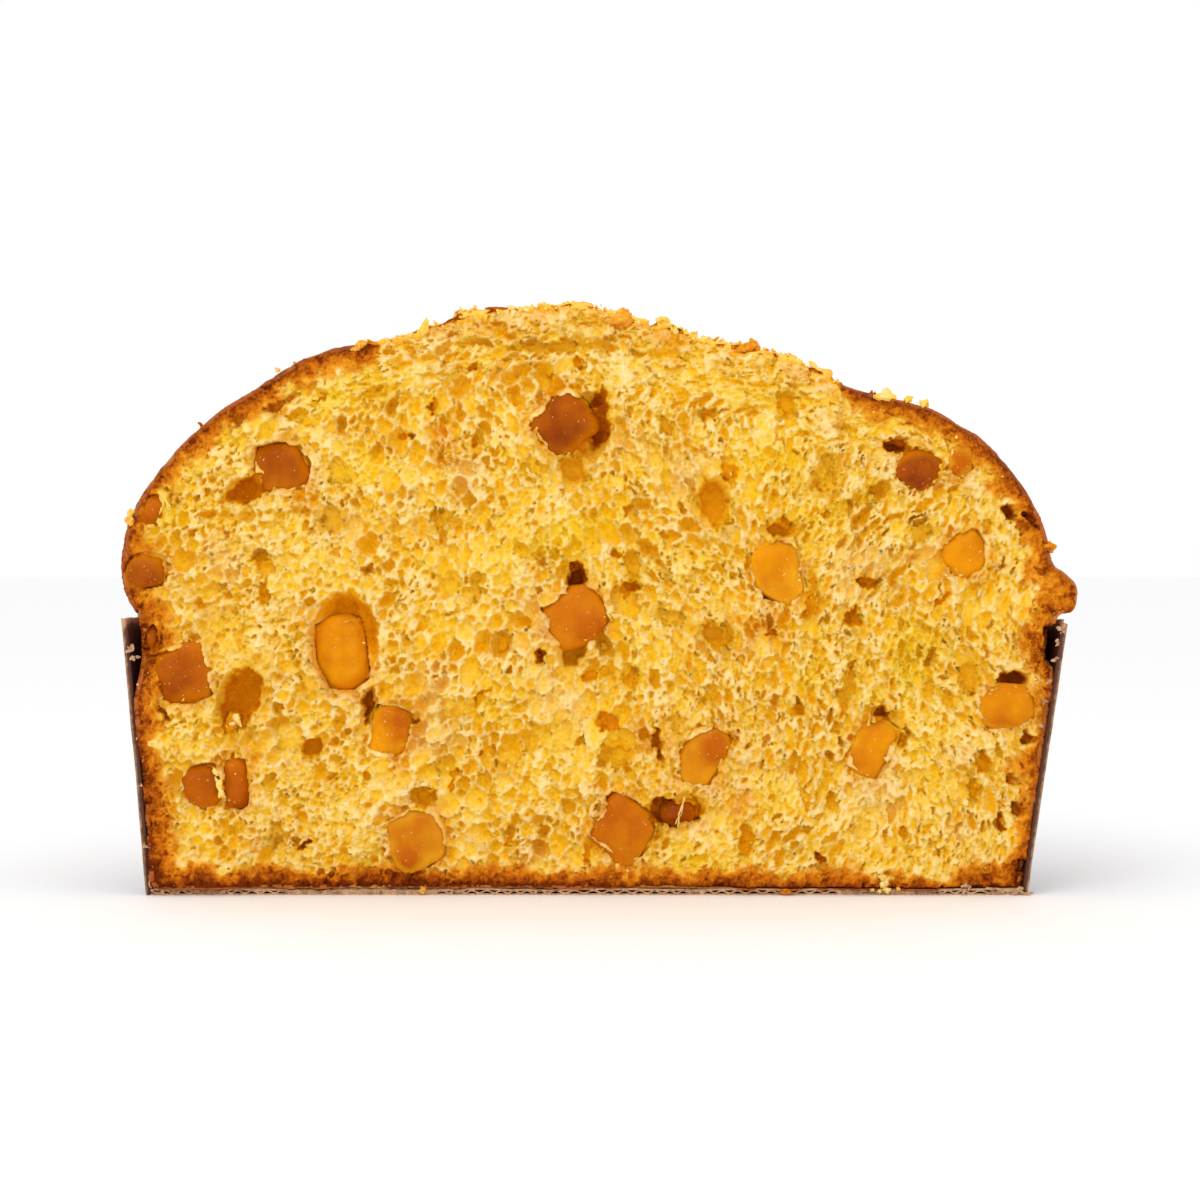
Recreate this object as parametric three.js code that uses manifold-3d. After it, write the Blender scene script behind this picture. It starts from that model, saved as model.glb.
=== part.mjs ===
// Half of a low panettone: a wide sweet dome loaf with candied apricot, baked in a fluted
// brown paper case and cut straight down through its middle. Millimetres, +Z up. The cut
// face looks along -Y, the rounded crust is behind it, and the case stands on z = 0.
import * as THREE from 'three';
import { mergeVertices } from 'three/addons/utils/BufferGeometryUtils.js';
import { ImprovedNoise } from 'three/addons/math/ImprovedNoise.js';
import Module from 'manifold-3d';

const wasm = await Module();
wasm.setup();

// Paper case
const BASE_RADIUS = 104.5;
const CASE_HEIGHT = 65;
const FLARE_LEFT = 5.6;
const FLARE_RIGHT = 9.7;
const WALL = 0.9;
const FLOOR = 1.6;
const FLUTES = 120;
const FLUTE_DEPTH = 0.9;
const RIM_WEAR = 0.9;

// Loaf. The lumps and crags are relief in the crust; the torn top is where the scored dough
// burst open and lies rough inside the smooth crust.
const TOUCH_GAP = 0.35;
const LOAF_FOOT = FLOOR + TOUCH_GAP;
const TOP = 139.3;
const ROWS_A_SPAN = 2;
const SKIN_SEGMENTS = 56;
const SHOULDER_BLEND = 14;
const LUMP_RELIEF = 2.4;
const WRINKLE_RELIEF = 1;
const TORN_RADIUS = 55;
const TORN_RELIEF = 1.5;
const TORN_RISE = 1.2;

// Knife cut, a slightly torn and wavy plane at y = 0
const KNIFE_REACH = { x: 250, y: 130, z: 165 };
const FACE_CELL = 9;
const FACE_RELIEF = 0.9;
const FACE_SET_BACK = 0.25;
const PORE_COUNT = 72;
const PORE_SEED = 71;
const CRUST_CLEAR = 7;
const PORE_CLEAR = 1.1;

// The loaf's section on each side of its axis, as [distance from the axis, height].
const LEFT_SECTION = [
  [101.5, LOAF_FOOT], [103.6, 4.6], [104.7, 20], [105.9, 36], [106.3, 46], [105, 57], [106.2, 66.5],
  [108, 69.8], [109.3, 73], [110, 79], [109.1, 86], [106.2, 94], [101.5, 100.5], [95.5, 107],
  [87.5, 114.2], [77.3, 120.6], [66.5, 127.3], [52.5, 131], [40, 133.2], [30, 137], [15, 138.9], [0, TOP],
];
const RIGHT_SECTION = [
  [101.5, LOAF_FOOT], [103.6, 4.6], [106, 20], [108.4, 36], [110.4, 50], [110.6, 58], [112, 67],
  [115.4, 67.3], [116.5, 70.6], [115.6, 75], [111, 78.8], [109.4, 85.4], [104.6, 96], [97.6, 104.6],
  [82.3, 115.2], [61.5, 120.8], [57.5, 123.6], [43.3, 128], [29, 131], [14.9, 135.5], [5.5, 137.4], [0, TOP],
];

// Candied pieces in the cut face, by the middle of what shows. w and h are across and up,
// tilt turns anticlockwise in degrees, front is how far the piece's face lies behind the cut.
const FRUIT = [
  { x: -72, z: 101.8, w: 11.4, h: 10, tilt: 8, front: 1.6, tone: 'dark' },
  { x: -5.8, z: 112.2, w: 12.6, h: 12, tilt: 38, front: 1.2, tone: 'dark' },
  { x: -102.2, z: 92.6, w: 4.8, h: 7, tilt: -25, front: 0.5, tone: 'dark' },
  { x: -104.2, z: 77.3, w: 8, h: 7.4, tilt: 0, front: 0.4, tone: 'dark' },
  { x: -57.7, z: 57.4, w: 10.4, h: 15.2, tilt: 12, front: 4.2, tone: 'light' },
  { x: -94.4, z: 52.6, w: 11, h: 12, tilt: 10, front: 0.9, tone: 'dark' },
  { x: -102.9, z: 61, w: 3, h: 8.2, tilt: -6, front: 0.8, tone: 'dark' },
  { x: -90.6, z: 26.6, w: 7, h: 8.6, tilt: 10, front: 1.4, tone: 'dark' },
  { x: -83, z: 27.2, w: 5.2, h: 11.6, tilt: 6, front: 1.6, tone: 'dark' },
  { x: -46.6, z: 39.2, w: 9.6, h: 11, tilt: -15, front: 0.6, tone: 'light' },
  { x: -39.5, z: 13.9, w: 12.2, h: 12.2, tilt: 15, front: 0.3, tone: 'light' },
  { x: -2.2, z: 66.8, w: 12.8, h: 11, tilt: 30, front: 1.3, tone: 'dark' },
  { x: 9.4, z: 15.8, w: 12.4, h: 12.8, tilt: -35, front: 0.8, tone: 'dark' },
  { x: 22.4, z: 19.6, w: 8.2, h: 5.6, tilt: 12, front: 2.6, tone: 'dark' },
  { x: 45.6, z: 77.6, w: 10, h: 13, tilt: 14, front: 0.2, tone: 'light' },
  { x: 27.6, z: 33, w: 9.2, h: 13.2, tilt: -22, front: 0.3, tone: 'light' },
  { x: 67.9, z: 35, w: 8.4, h: 12.8, tilt: -26, front: 0.8, tone: 'light' },
  { x: 100.2, z: 44.8, w: 12.6, h: 8.2, tilt: 8, front: 0.2, tone: 'light' },
  { x: 79.8, z: 101.8, w: 9.4, h: 7.2, tilt: -14, front: 1.7, tone: 'dark' },
  { x: 88.9, z: 103, w: 5.6, h: 5.8, tilt: 0, front: 0.7, tone: 'light' },
  { x: 90.4, z: 80.7, w: 8.4, h: 9, tilt: 25, front: 1, tone: 'light' },
];
const FRUIT_DEPTH = 10.5;
const FRUIT_SPREAD = 1.08;
const FRUIT_ROUND = 0.52;
const FRUIT_UNEVEN = 0.28;
const FRUIT_FACES = 2;
const SUNK_FRONT = 2;
const POCKET_GAP = 0.5;

// Larger hollows that the knife opened, by their mouth; deep is how far they reach in.
const CAVES = [
  { x: -57.2, z: 60.4, w: 16.8, h: 25, tilt: -4, deep: 13 },
  { x: -51.6, z: 45.6, w: 3.8, h: 11, tilt: -12, deep: 6 },
  { x: -82.2, z: 46.8, w: 10.4, h: 15.6, tilt: -24, deep: 8 },
  { x: -81.4, z: 96.4, w: 9, h: 6.6, tilt: 20, deep: 5 },
  { x: 0.6, z: 108.8, w: 10.5, h: 14, tilt: -28, deep: 8.5 },
  { x: 1.2, z: 118, w: 8, h: 3.8, tilt: -16, deep: 6 },
  { x: -3.2, z: 100.4, w: 6.4, h: 7.4, tilt: -10, deep: 4.5 },
  { x: -2.6, z: 75, w: 4.4, h: 6.2, tilt: 0, deep: 6 },
  { x: -3.6, z: 58, w: 8.4, h: 8.6, tilt: 12, deep: 4.6 },
  { x: -10.8, z: 57, w: 3.2, h: 4.4, tilt: 10, deep: 4 },
  { x: -99.6, z: 47.4, w: 5.4, h: 3.2, tilt: -20, deep: 4.4 },
  { x: -64.2, z: 35.6, w: 4.6, h: 8.4, tilt: -38, deep: 4.6 },
  { x: 30.4, z: 93, w: 7.4, h: 14, tilt: -14, deep: 4.6 },
  { x: 23.4, z: 20.6, w: 10.4, h: 7.2, tilt: 14, deep: 5 },
  { x: 101.4, z: 51, w: 8.6, h: 4, tilt: 4, deep: 5.6 },
  { x: 73.6, z: 105.6, w: 7.4, h: 3.6, tilt: -12, deep: 5.6 },
  { x: 69.8, z: 43.4, w: 4, h: 4.6, tilt: -20, deep: 5 },
  { x: 45.2, z: 86, w: 7, h: 5, tilt: 0, deep: 3.4 },
  { x: -89.6, z: 70.8, w: 9, h: 9, tilt: 0, deep: 2.4 },
  { x: 29.4, z: 62.4, w: 8, h: 5, tilt: 0, deep: 3 },
  { x: 91, z: 52.4, w: 4.4, h: 8.4, tilt: -6, deep: 3 },
];

// Single round pores that stand out in the crumb, as across, up and width.
const PORES = [
  [-59.8, 89.2, 6], [-76.7, 79.4, 5], [-42.6, 108.4, 4.4], [-25.4, 108, 5], [-33.6, 104, 5.4],
  [-32.4, 89.9, 4], [-26, 88.4, 4.2], [68.9, 96.4, 5.2], [54.6, 97.2, 5], [58, 102.8, 4.6],
  [42, 101.8, 4], [99.4, 91, 3.8], [65.3, 74.4, 4.8], [62.8, 66.2, 4.6], [85.6, 47.3, 3.8],
  [104.6, 36.9, 3], [101.8, 20.4, 3], [5.8, 32.8, 5], [-18.5, 74, 4.4], [-37.4, 57.4, 4.6],
];

const noise = new ImprovedNoise();

// Smooth waves from -1 to 1 that repeat nowhere on the loaf, length apart.
function waves(x, y, z, length) {
  return noise.noise(x / length + 17.3, y / length + 5.1, z / length + 9.7);
}

// The same draws each time.
function seededRandom(seed) {
  let state = seed;
  return () => {
    state = (state * 1664525 + 1013904223) % 4294967296;
    return state / 4294967296;
  };
}

// A closed three.js geometry as a manifold solid, without the poles' empty triangles.
function solidOf(geometry) {
  const bare = new THREE.BufferGeometry();
  bare.setAttribute('position', geometry.getAttribute('position'));
  bare.setIndex(geometry.getIndex());
  const merged = mergeVertices(bare, 1e-3);
  const corners = merged.index.array;
  const kept = [];
  for (let i = 0; i < corners.length; i += 3) {
    const [a, b, c] = corners.slice(i, i + 3);
    if (a !== b && b !== c && c !== a) {
      kept.push(a, b, c);
    }
  }
  const vertProperties = new Float32Array(merged.attributes.position.array);
  return new wasm.Manifold(new wasm.Mesh({ numProp: 3, vertProperties, triVerts: new Uint32Array(kept) }));
}

function geometryOf(solid) {
  const mesh = solid.getMesh();
  const geometry = new THREE.BufferGeometry();
  geometry.setAttribute('position', new THREE.BufferAttribute(new Float32Array(mesh.vertProperties), 3));
  geometry.setIndex(new THREE.BufferAttribute(new Uint32Array(mesh.triVerts), 1));
  geometry.computeVertexNormals();
  return geometry;
}

// Drops the loose scraps that cutting leaves.
function largestPiece(solid) {
  return solid.decompose().sort((a, b) => b.volume() - a.volume())[0];
}

// Moves every vertex of a geometry: shape takes a point and changes it.
function reshape(geometry, shape) {
  const position = geometry.getAttribute('position');
  const point = new THREE.Vector3();
  for (let i = 0; i < position.count; i += 1) {
    point.fromBufferAttribute(position, i);
    shape(point);
    position.setXYZ(i, point.x, point.y, point.z);
  }
  return geometry;
}

// A turned body about Z whose rows follow place(angle, row); angle 0 is +X and turns to +Y.
function turnedBody(rows, segments, place) {
  const blanks = Array.from({ length: rows + 1 }, (_, row) => new THREE.Vector2(1, row));
  const geometry = new THREE.LatheGeometry(blanks, segments);
  const position = geometry.getAttribute('position');
  for (let segment = 0; segment <= segments; segment += 1) {
    const angle = ((segment % segments) / segments) * Math.PI * 2;
    for (let row = 0; row <= rows; row += 1) {
      const { radius, height } = place(angle, row);
      const index = segment * (rows + 1) + row;
      position.setXYZ(index, radius * Math.cos(angle), radius * Math.sin(angle), height);
    }
  }
  return outwards(geometry);
}

// Turns a closed geometry's faces round if they point inwards.
function outwards(geometry) {
  const corners = geometry.index.array;
  const position = geometry.getAttribute('position');
  const [a, b, c] = [new THREE.Vector3(), new THREE.Vector3(), new THREE.Vector3()];
  let volume = 0;
  for (let i = 0; i < corners.length; i += 3) {
    a.fromBufferAttribute(position, corners[i]);
    b.fromBufferAttribute(position, corners[i + 1]);
    c.fromBufferAttribute(position, corners[i + 2]);
    volume += a.dot(b.cross(c));
  }
  if (volume < 0) {
    for (let i = 0; i < corners.length; i += 3) {
      [corners[i], corners[i + 1]] = [corners[i + 1], corners[i]];
    }
  }
  return geometry;
}

// From 0 on the right of the cut, over the back, to 1 on its left.
function leftShare(angle) {
  return (1 - Math.cos(angle)) / 2;
}

// 0 in the cut and 1 at the back, so that lumps leave the section as it is.
function backShare(angle) {
  return Math.abs(Math.sin(angle));
}

function sectionCurve(points) {
  const corners = points.map(([r, z]) => new THREE.Vector3(r, 0, z));
  const curve = new THREE.CatmullRomCurve3(corners, false, 'centripetal');
  return curve.getPoints((points.length - 1) * ROWS_A_SPAN).map((p) => [Math.max(p.x, 0), p.z]);
}

// How far a point of the dome is into the torn top, from 0 outside to 1 inside.
function tornShare(angle, radius) {
  const edge = TORN_RADIUS * (1 + 0.1 * Math.cos(4 * angle + 0.6)) - 2 * Math.cos(angle);
  return THREE.MathUtils.smoothstep(edge - radius, -1.5, 3.5);
}

// The whole dome before the cut: crust, shoulder over the case and torn top.
function domeBody() {
  const left = sectionCurve(LEFT_SECTION);
  const right = sectionCurve(RIGHT_SECTION);
  return turnedBody(left.length, SKIN_SEGMENTS, (angle, row) => {
    if (row === 0) {
      return { radius: 0, height: LOAF_FOOT };
    }
    const share = leftShare(angle);
    const back = backShare(angle);
    const [rightRadius, rightHeight] = right[row - 1];
    const [leftRadius, leftHeight] = left[row - 1];
    const height = THREE.MathUtils.lerp(rightHeight, leftHeight, share);
    const paper = caseRadius(angle, height) - FLUTE_DEPTH - WALL;
    const room = height < CASE_HEIGHT + 2 ? paper - TOUCH_GAP : Infinity;
    const radius = Math.min(THREE.MathUtils.lerp(rightRadius, leftRadius, share), room);
    const above = THREE.MathUtils.smoothstep(height, CASE_HEIGHT, CASE_HEIGHT + SHOULDER_BLEND);
    const x = radius * Math.cos(angle);
    const y = radius * Math.sin(angle);
    const torn = tornShare(angle, radius);
    const lump = above * back
      * (LUMP_RELIEF * waves(x, y, height, 38) + WRINKLE_RELIEF * waves(x, y, height, 15));
    const crag = torn * TORN_RELIEF * (waves(x, y, height, 9) + 0.6 * Math.abs(waves(x, y, height, 5)));
    const fade = row === left.length ? 0 : 1;
    return {
      radius: fade * (radius + lump * Math.min(1, radius / 40)),
      height: height + fade * (0.8 * lump + crag * Math.max(back, 0.55) + TORN_RISE * torn * back),
    };
  });
}

// The knife's path: everything in front of the wavy plane.
function knifePath() {
  const { x: wide, y: thick, z: tall } = KNIFE_REACH;
  const cells = [wide, tall].map((side) => Math.round(side / FACE_CELL));
  const block = new THREE.BoxGeometry(wide, thick, tall, cells[0], 1, cells[1]);
  return solidOf(reshape(block, (p) => {
    p.z += tall * 0.45;
    const ripple = 1.3 * waves(p.x, 0, p.z, 21) + 0.9 * waves(p.x, 3, p.z, 9);
    p.y = p.y > 0 ? FACE_SET_BACK + FACE_RELIEF * ripple : -thick;
  }));
}

// An egg-shaped cutter made from a ball of radius 1, half of it behind the cut.
function hollow({ x, z, w, h, tilt, deep }, ball) {
  const turn = THREE.MathUtils.degToRad(tilt);
  reshape(ball, (p) => {
    p.multiplyScalar(1 + 0.1 * waves(p.x * 20 + x, p.y * 20, p.z * 20 + z, 14));
  });
  ball.scale(w / 2, deep, h / 2).rotateY(-turn).translate(x, 0, z);
  return solidOf(ball);
}

// A rounded, uneven block of fruit, grown by gap all round.
function chunk({ x, z, w, h, tilt, front }, index, gap) {
  const block = new THREE.BoxGeometry(1, 1, 1, FRUIT_FACES, FRUIT_FACES, FRUIT_FACES);
  const middle = front + FRUIT_DEPTH * (front > SUNK_FRONT ? 0.5 : 0.3);
  reshape(block, (p) => {
    const round = p.clone().normalize().multiplyScalar(0.6);
    p.lerp(round, FRUIT_ROUND);
    p.multiplyScalar(1 + FRUIT_UNEVEN * waves(p.x * 9 + index * 3, p.y * 9, p.z * 9, 7));
  });
  block.scale(w * FRUIT_SPREAD + 2 * gap, FRUIT_DEPTH + 2 * gap, h * FRUIT_SPREAD + 2 * gap);
  block.rotateZ(0.12 * Math.sin(index * 2.4)).rotateX(0.14 * Math.cos(index * 1.7));
  block.rotateY(-THREE.MathUtils.degToRad(tilt)).translate(x, middle, z);
  return solidOf(block);
}

// Everything behind a plane that faces the viewer.
function behind(plane) {
  const size = 300;
  return solidOf(new THREE.BoxGeometry(size, size, size).translate(0, plane + size / 2, size / 3));
}

function fruitSolid(piece, index) {
  return largestPiece(chunk(piece, index, 0).intersect(behind(piece.front)));
}

// Which way the crumb was drawn while it rose: upright in the middle, fanning out.
function crumbLean(x, z) {
  return -0.32 * x + 14 * waves(x, 7, z, 30) - 6 * (1 - z / TOP);
}

// Half the width of the crumb at a height, roughly: straight sides, then a round dome.
function crumbWidthAt(z) {
  const spring = 84;
  const rise = Math.max(0, z - spring) / 62;
  return 102 * Math.sqrt(Math.max(0, 1 - rise ** 2));
}

// Pores of the crumb, placed apart from each other and from fruit and caves.
function scatterPores() {
  const random = seededRandom(PORE_SEED);
  const taken = [
    ...FRUIT.map(({ x, z, w, h }) => [x, z, Math.max(w, h) / 2 + 1]),
    ...CAVES.map(({ x, z, w, h }) => [x, z, Math.max(w, h) / 2]),
  ];
  const pores = PORES.map(([x, z, w]) => ({ x, z, w, h: w * 1.15, tilt: 0, deep: w * 0.5 }));
  taken.push(...PORES.map(([x, z, w]) => [x, z, w / 2]));
  for (let tries = 0; tries < 6000 && pores.length < PORE_COUNT; tries += 1) {
    const x = (random() * 2 - 1) * BASE_RADIUS;
    const z = CRUST_CLEAR + random() * (TOP - 2 * CRUST_CLEAR);
    const w = 2.8 + 2.6 * random() ** 2;
    const stretch = 1.1 + 0.9 * random() * THREE.MathUtils.smoothstep(x, -60, 60);
    const inside = Math.abs(x) < crumbWidthAt(z) - CRUST_CLEAR;
    const room = w * stretch * 0.5 + PORE_CLEAR;
    const clear = taken.every(([tx, tz, r]) => Math.hypot(x - tx, z - tz) > r + room);
    if (inside && clear) {
      pores.push({ x, z, w, h: w * stretch, tilt: crumbLean(x, z), deep: w * (0.38 + 0.25 * random()) });
      taken.push([x, z, (w * stretch) / 2]);
    }
  }
  return pores;
}

function loafSolid() {
  const large = ({ w, h }) => w * h > 100;
  const cutters = [
    knifePath(),
    ...CAVES.map((cave) => hollow(cave, new THREE.IcosahedronGeometry(1, large(cave) ? 2 : 1))),
    ...FRUIT.map((piece, index) => chunk(piece, index, POCKET_GAP)),
    ...scatterPores().map((pore) => hollow(pore, new THREE.OctahedronGeometry(1, 1))),
  ];
  return largestPiece(solidOf(domeBody()).subtract(wasm.Manifold.union(cutters)));
}

// The case's radius at a height: it flares more on the right than on the left.
function caseRadius(angle, height) {
  const flare = THREE.MathUtils.lerp(FLARE_RIGHT, FLARE_LEFT, leftShare(angle));
  return BASE_RADIUS + (flare * height) / CASE_HEIGHT;
}

// Outer or inner surface of the paper, as a solid drum. inset moves it towards the axis.
function paperDrum(foot, top, inset, wear) {
  const heights = [foot, foot, top, top];
  return turnedBody(heights.length - 1, FLUTES * 2, (angle, row) => {
    const segment = Math.round((angle / (Math.PI * 2)) * FLUTES * 2);
    const flute = segment % 2 ? 0 : FLUTE_DEPTH;
    const rim = row >= 2 ? wear * waves(30 * Math.cos(angle), 30 * Math.sin(angle), 0, 6) : 0;
    const height = heights[row] + rim;
    if (row === 0 || row === heights.length - 1) {
      return { radius: 0, height: heights[row] };
    }
    return { radius: caseRadius(angle, height) - flute - inset, height };
  });
}

function caseSolid() {
  const outside = solidOf(paperDrum(0, CASE_HEIGHT, 0, RIM_WEAR));
  const inside = solidOf(paperDrum(FLOOR, CASE_HEIGHT + 10, WALL, 0));
  return largestPiece(outside.subtract(inside).intersect(behind(0)));
}

// Matt, finely rough food or paper in one colour.
function matt(color, roughness) {
  return new THREE.MeshStandardMaterial({ color, roughness, metalness: 0 });
}

const CRUMB = matt(0xf0bd4e, 0.9);
const PAPER = matt(0x4b2c20, 0.75);
const FRUIT_TONES = { dark: matt(0xb8600f, 0.35), light: matt(0xdb8f1c, 0.35) };

function namedMesh(name, solid, material) {
  const mesh = new THREE.Mesh(geometryOf(solid), material);
  mesh.name = name;
  return mesh;
}

const panettone = new THREE.Group();
panettone.add(namedMesh('paper_case', caseSolid(), PAPER));
panettone.add(namedMesh('loaf', loafSolid(), CRUMB));
FRUIT.forEach((piece, index) => {
  const name = `candied_fruit_${String(index + 1).padStart(2, '0')}`;
  panettone.add(namedMesh(name, fruitSolid(piece, index), FRUIT_TONES[piece.tone]));
});

// The origin is the middle of the footprint's box, on the surface that the case stands on.
const box = new THREE.Box3().setFromObject(panettone, true);
const middle = box.getCenter(new THREE.Vector3());
panettone.position.set(-middle.x, -middle.y, -box.min.z);

export default panettone;
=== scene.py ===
# Half of a low panettone with candied fruit, cut through its middle, in its brown paper
# baking case. The cut face looks along -Y and the case stands on the floor at z = 0.
import math

import bmesh
import bpy
import numpy as np
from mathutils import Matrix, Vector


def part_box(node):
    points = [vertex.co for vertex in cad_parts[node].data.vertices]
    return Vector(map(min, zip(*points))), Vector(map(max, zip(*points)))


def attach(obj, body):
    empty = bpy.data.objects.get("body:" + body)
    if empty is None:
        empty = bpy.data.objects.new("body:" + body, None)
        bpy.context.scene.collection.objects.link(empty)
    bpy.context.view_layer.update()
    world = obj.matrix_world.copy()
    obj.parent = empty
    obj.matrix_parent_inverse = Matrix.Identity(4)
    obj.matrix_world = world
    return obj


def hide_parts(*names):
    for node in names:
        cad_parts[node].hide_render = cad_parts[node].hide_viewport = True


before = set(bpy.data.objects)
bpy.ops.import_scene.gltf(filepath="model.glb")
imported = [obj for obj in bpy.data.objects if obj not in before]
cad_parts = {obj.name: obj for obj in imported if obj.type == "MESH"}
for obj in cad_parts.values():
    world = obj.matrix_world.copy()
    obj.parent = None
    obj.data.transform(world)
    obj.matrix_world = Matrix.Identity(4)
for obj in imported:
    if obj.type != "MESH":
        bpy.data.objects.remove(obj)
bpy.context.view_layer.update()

import openvdb
from mathutils import Vector
from mathutils.bvhtree import BVHTree

MM = 0.001
FRUIT_NODES = sorted(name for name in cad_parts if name.startswith("candied_fruit"))
# The paler pieces of fruit; the others are a deep amber.
PALE_FRUIT = {5, 10, 11, 15, 16, 17, 18, 20, 21}


def corners_of(node):
    """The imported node's vertices as an array, in metres."""
    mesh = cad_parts[node].data
    flat = np.zeros(len(mesh.vertices) * 3, np.float32)
    mesh.vertices.foreach_get("co", flat)
    return flat.reshape(-1, 3).astype(float)


def triangles_of(node):
    """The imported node's triangles, as rows of vertex numbers."""
    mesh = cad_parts[node].data
    mesh.calc_loop_triangles()
    flat = np.zeros(len(mesh.loop_triangles) * 3, np.int32)
    mesh.loop_triangles.foreach_get("vertices", flat)
    return flat.reshape(-1, 3)


CASE = corners_of("paper_case")
FOOT = CASE[CASE[:, 2] < 0.2 * MM]
AXIS_X = (FOOT[:, 0].min() + FOOT[:, 0].max()) / 2
CUT_Y = FOOT[:, 1].min()
BASE_RADIUS = (FOOT[:, 0].max() - FOOT[:, 0].min()) / 2
RIM_Z = CASE[:, 2].max()
RIM = CASE[CASE[:, 2] > RIM_Z - 3 * MM]
RIM_RIGHT = RIM[:, 0].max() - AXIS_X
RIM_LEFT = AXIS_X - RIM[:, 0].min()
LOAF_LOW, LOAF_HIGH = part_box("loaf")


# Random waves

LATTICE_SIZE = 64
LATTICE = np.random.default_rng(11).uniform(-1, 1, (LATTICE_SIZE,) * 3).astype(np.float32)


def waves(x, y, z, length, seed=0):
    """Smooth random waves, mostly from -0.7 to 0.7, at points in metres; length is a wave's."""
    shift = 13.7 * seed
    low, share = [], []
    for value in (x, y, z):
        q = np.asarray(value, np.float32) / np.float32(length) + np.float32(shift)
        cell = np.floor(q)
        t = q - cell
        low.append(cell.astype(np.int32) % LATTICE_SIZE)
        share.append(t * t * (3 - 2 * t))
    total = 0
    for dx in (0, 1):
        wx = share[0] if dx else 1 - share[0]
        ix = (low[0] + dx) % LATTICE_SIZE
        for dy in (0, 1):
            wy = share[1] if dy else 1 - share[1]
            iy = (low[1] + dy) % LATTICE_SIZE
            for dz in (0, 1):
                wz = share[2] if dz else 1 - share[2]
                iz = (low[2] + dz) % LATTICE_SIZE
                total = total + wx * wy * wz * LATTICE[ix, iy, iz]
    return total


def smoothstep(value, low, high):
    """0 below low, 1 above high and a soft step between."""
    t = np.clip((value - low) / (high - low), 0, 1)
    return t * t * (3 - 2 * t)


def mix(a, b, share):
    """a where the share is 0, b where it is 1, and in proportion between."""
    return a + (b - a) * share


def ripples(x, y, z, *kinds):
    """A sum of random waves; each kind is its height, its length in millimetres and its seed."""
    return sum(height * waves(x, y, z, length * MM, seed) for height, length, seed in kinds)


def nearest(values, axis, step):
    """Numbers of the points of an even axis that are nearest to the values."""
    return np.clip(np.rint((values - axis[0]) / step), 0, len(axis) - 1).astype(int)


# Maps of the cut face, as arrays over x and z

STEP = 0.25 * MM
FACE_MARGIN = 2.5 * MM
XS = np.arange(LOAF_LOW.x - FACE_MARGIN, LOAF_HIGH.x + FACE_MARGIN, STEP)
ZS = np.arange(0, LOAF_HIGH.z + FACE_MARGIN, STEP)
# The deepest that a hollow counts, and how far in front of the cut a ray starts.
DEEPEST = 14.0 * MM
LOOK_FROM = 20 * MM
# How far distances are measured: as a rule, where little is needed, and inside the outline.
REACH = 12 * MM
SHORT_REACH = 6 * MM
EDGE_REACH = 34 * MM
X_GRID, Z_GRID = np.meshgrid(XS, ZS, indexing="ij")


def face_waves(length, seed):
    """A map of random waves, their length in millimetres."""
    return waves(X_GRID, 0, Z_GRID, length * MM, seed)


def tree_of(nodes):
    """A tree of the nodes' faces that rays can be sent at."""
    points, faces = [], []
    for node in nodes:
        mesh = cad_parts[node].data
        start = len(points)
        points.extend(v.co[:] for v in mesh.vertices)
        faces.extend([start + i for i in p.vertices] for p in mesh.polygons)
    return BVHTree.FromPolygons(points, faces)


def depth_map(tree):
    """How far behind the cut plane a straight look at each point of the face ends; inf beside it."""
    depth = np.full((len(XS), len(ZS)), np.inf)
    start_y = CUT_Y - LOOK_FROM
    ahead = Vector((0, 1, 0))
    for i, x in enumerate(XS):
        for k, z in enumerate(ZS):
            hit = tree.ray_cast(Vector((x, start_y, z)), ahead)
            if hit[0] is not None:
                depth[i, k] = hit[0].y - CUT_Y
    return depth


def distance_to(mask, reach):
    """Distance in metres of each point of the face to the nearest true one, up to reach."""
    cells = int(reach / STEP)
    far = float(cells)
    along = np.where(mask, 0.0, far)
    for k in range(1, along.shape[1]):
        along[:, k] = np.minimum(along[:, k], along[:, k - 1] + 1)
    for k in range(along.shape[1] - 2, -1, -1):
        along[:, k] = np.minimum(along[:, k], along[:, k + 1] + 1)
    best = along ** 2
    for shift in range(1, cells):
        square = along ** 2 + shift ** 2
        best[shift:] = np.minimum(best[shift:], square[:-shift])
        best[:-shift] = np.minimum(best[:-shift], square[shift:])
    return np.minimum(np.sqrt(best), far) * STEP


def box_mean(values, cells, axes):
    """Mean over 2 * cells steps round each point of an array, along one axis after the other."""
    result = values
    for axis in axes:
        pad = [(cells, cells) if a == axis else (0, 0) for a in range(values.ndim)]
        total = np.cumsum(np.pad(result, pad, "edge"), axis=axis, dtype=float)
        size = result.shape[axis]
        head = np.take(total, range(2 * cells, 2 * cells + size), axis=axis)
        tail = np.take(total, range(size), axis=axis)
        result = ((head - tail) / (2 * cells)).astype(values.dtype)
    return result


def blurred(values, cells):
    """A map after two box means along each of its directions."""
    return box_mean(values.astype(float), cells, (0, 1, 0, 1))


def without_slits(depth, cells):
    """Fills slits that are narrower than twice the cells, and keeps wide hollows."""
    result = depth
    for pick in (np.minimum, np.maximum):
        source = result
        for axis in (0, 1):
            widened = source.copy()
            for shift in range(1, cells + 1):
                rolled = (np.roll(source, shift, axis), np.roll(source, -shift, axis))
                widened = pick(widened, pick(*rolled))
            source = widened
        result = source
    return result


def filled_face(depth):
    """True inside the face's outline, the deepest hollows included."""
    near = depth < DEEPEST
    middle = distance_to(~np.isfinite(depth), REACH) > SHORT_REACH
    return near | (middle & (distance_to(near, REACH) < 11 * MM))


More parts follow.
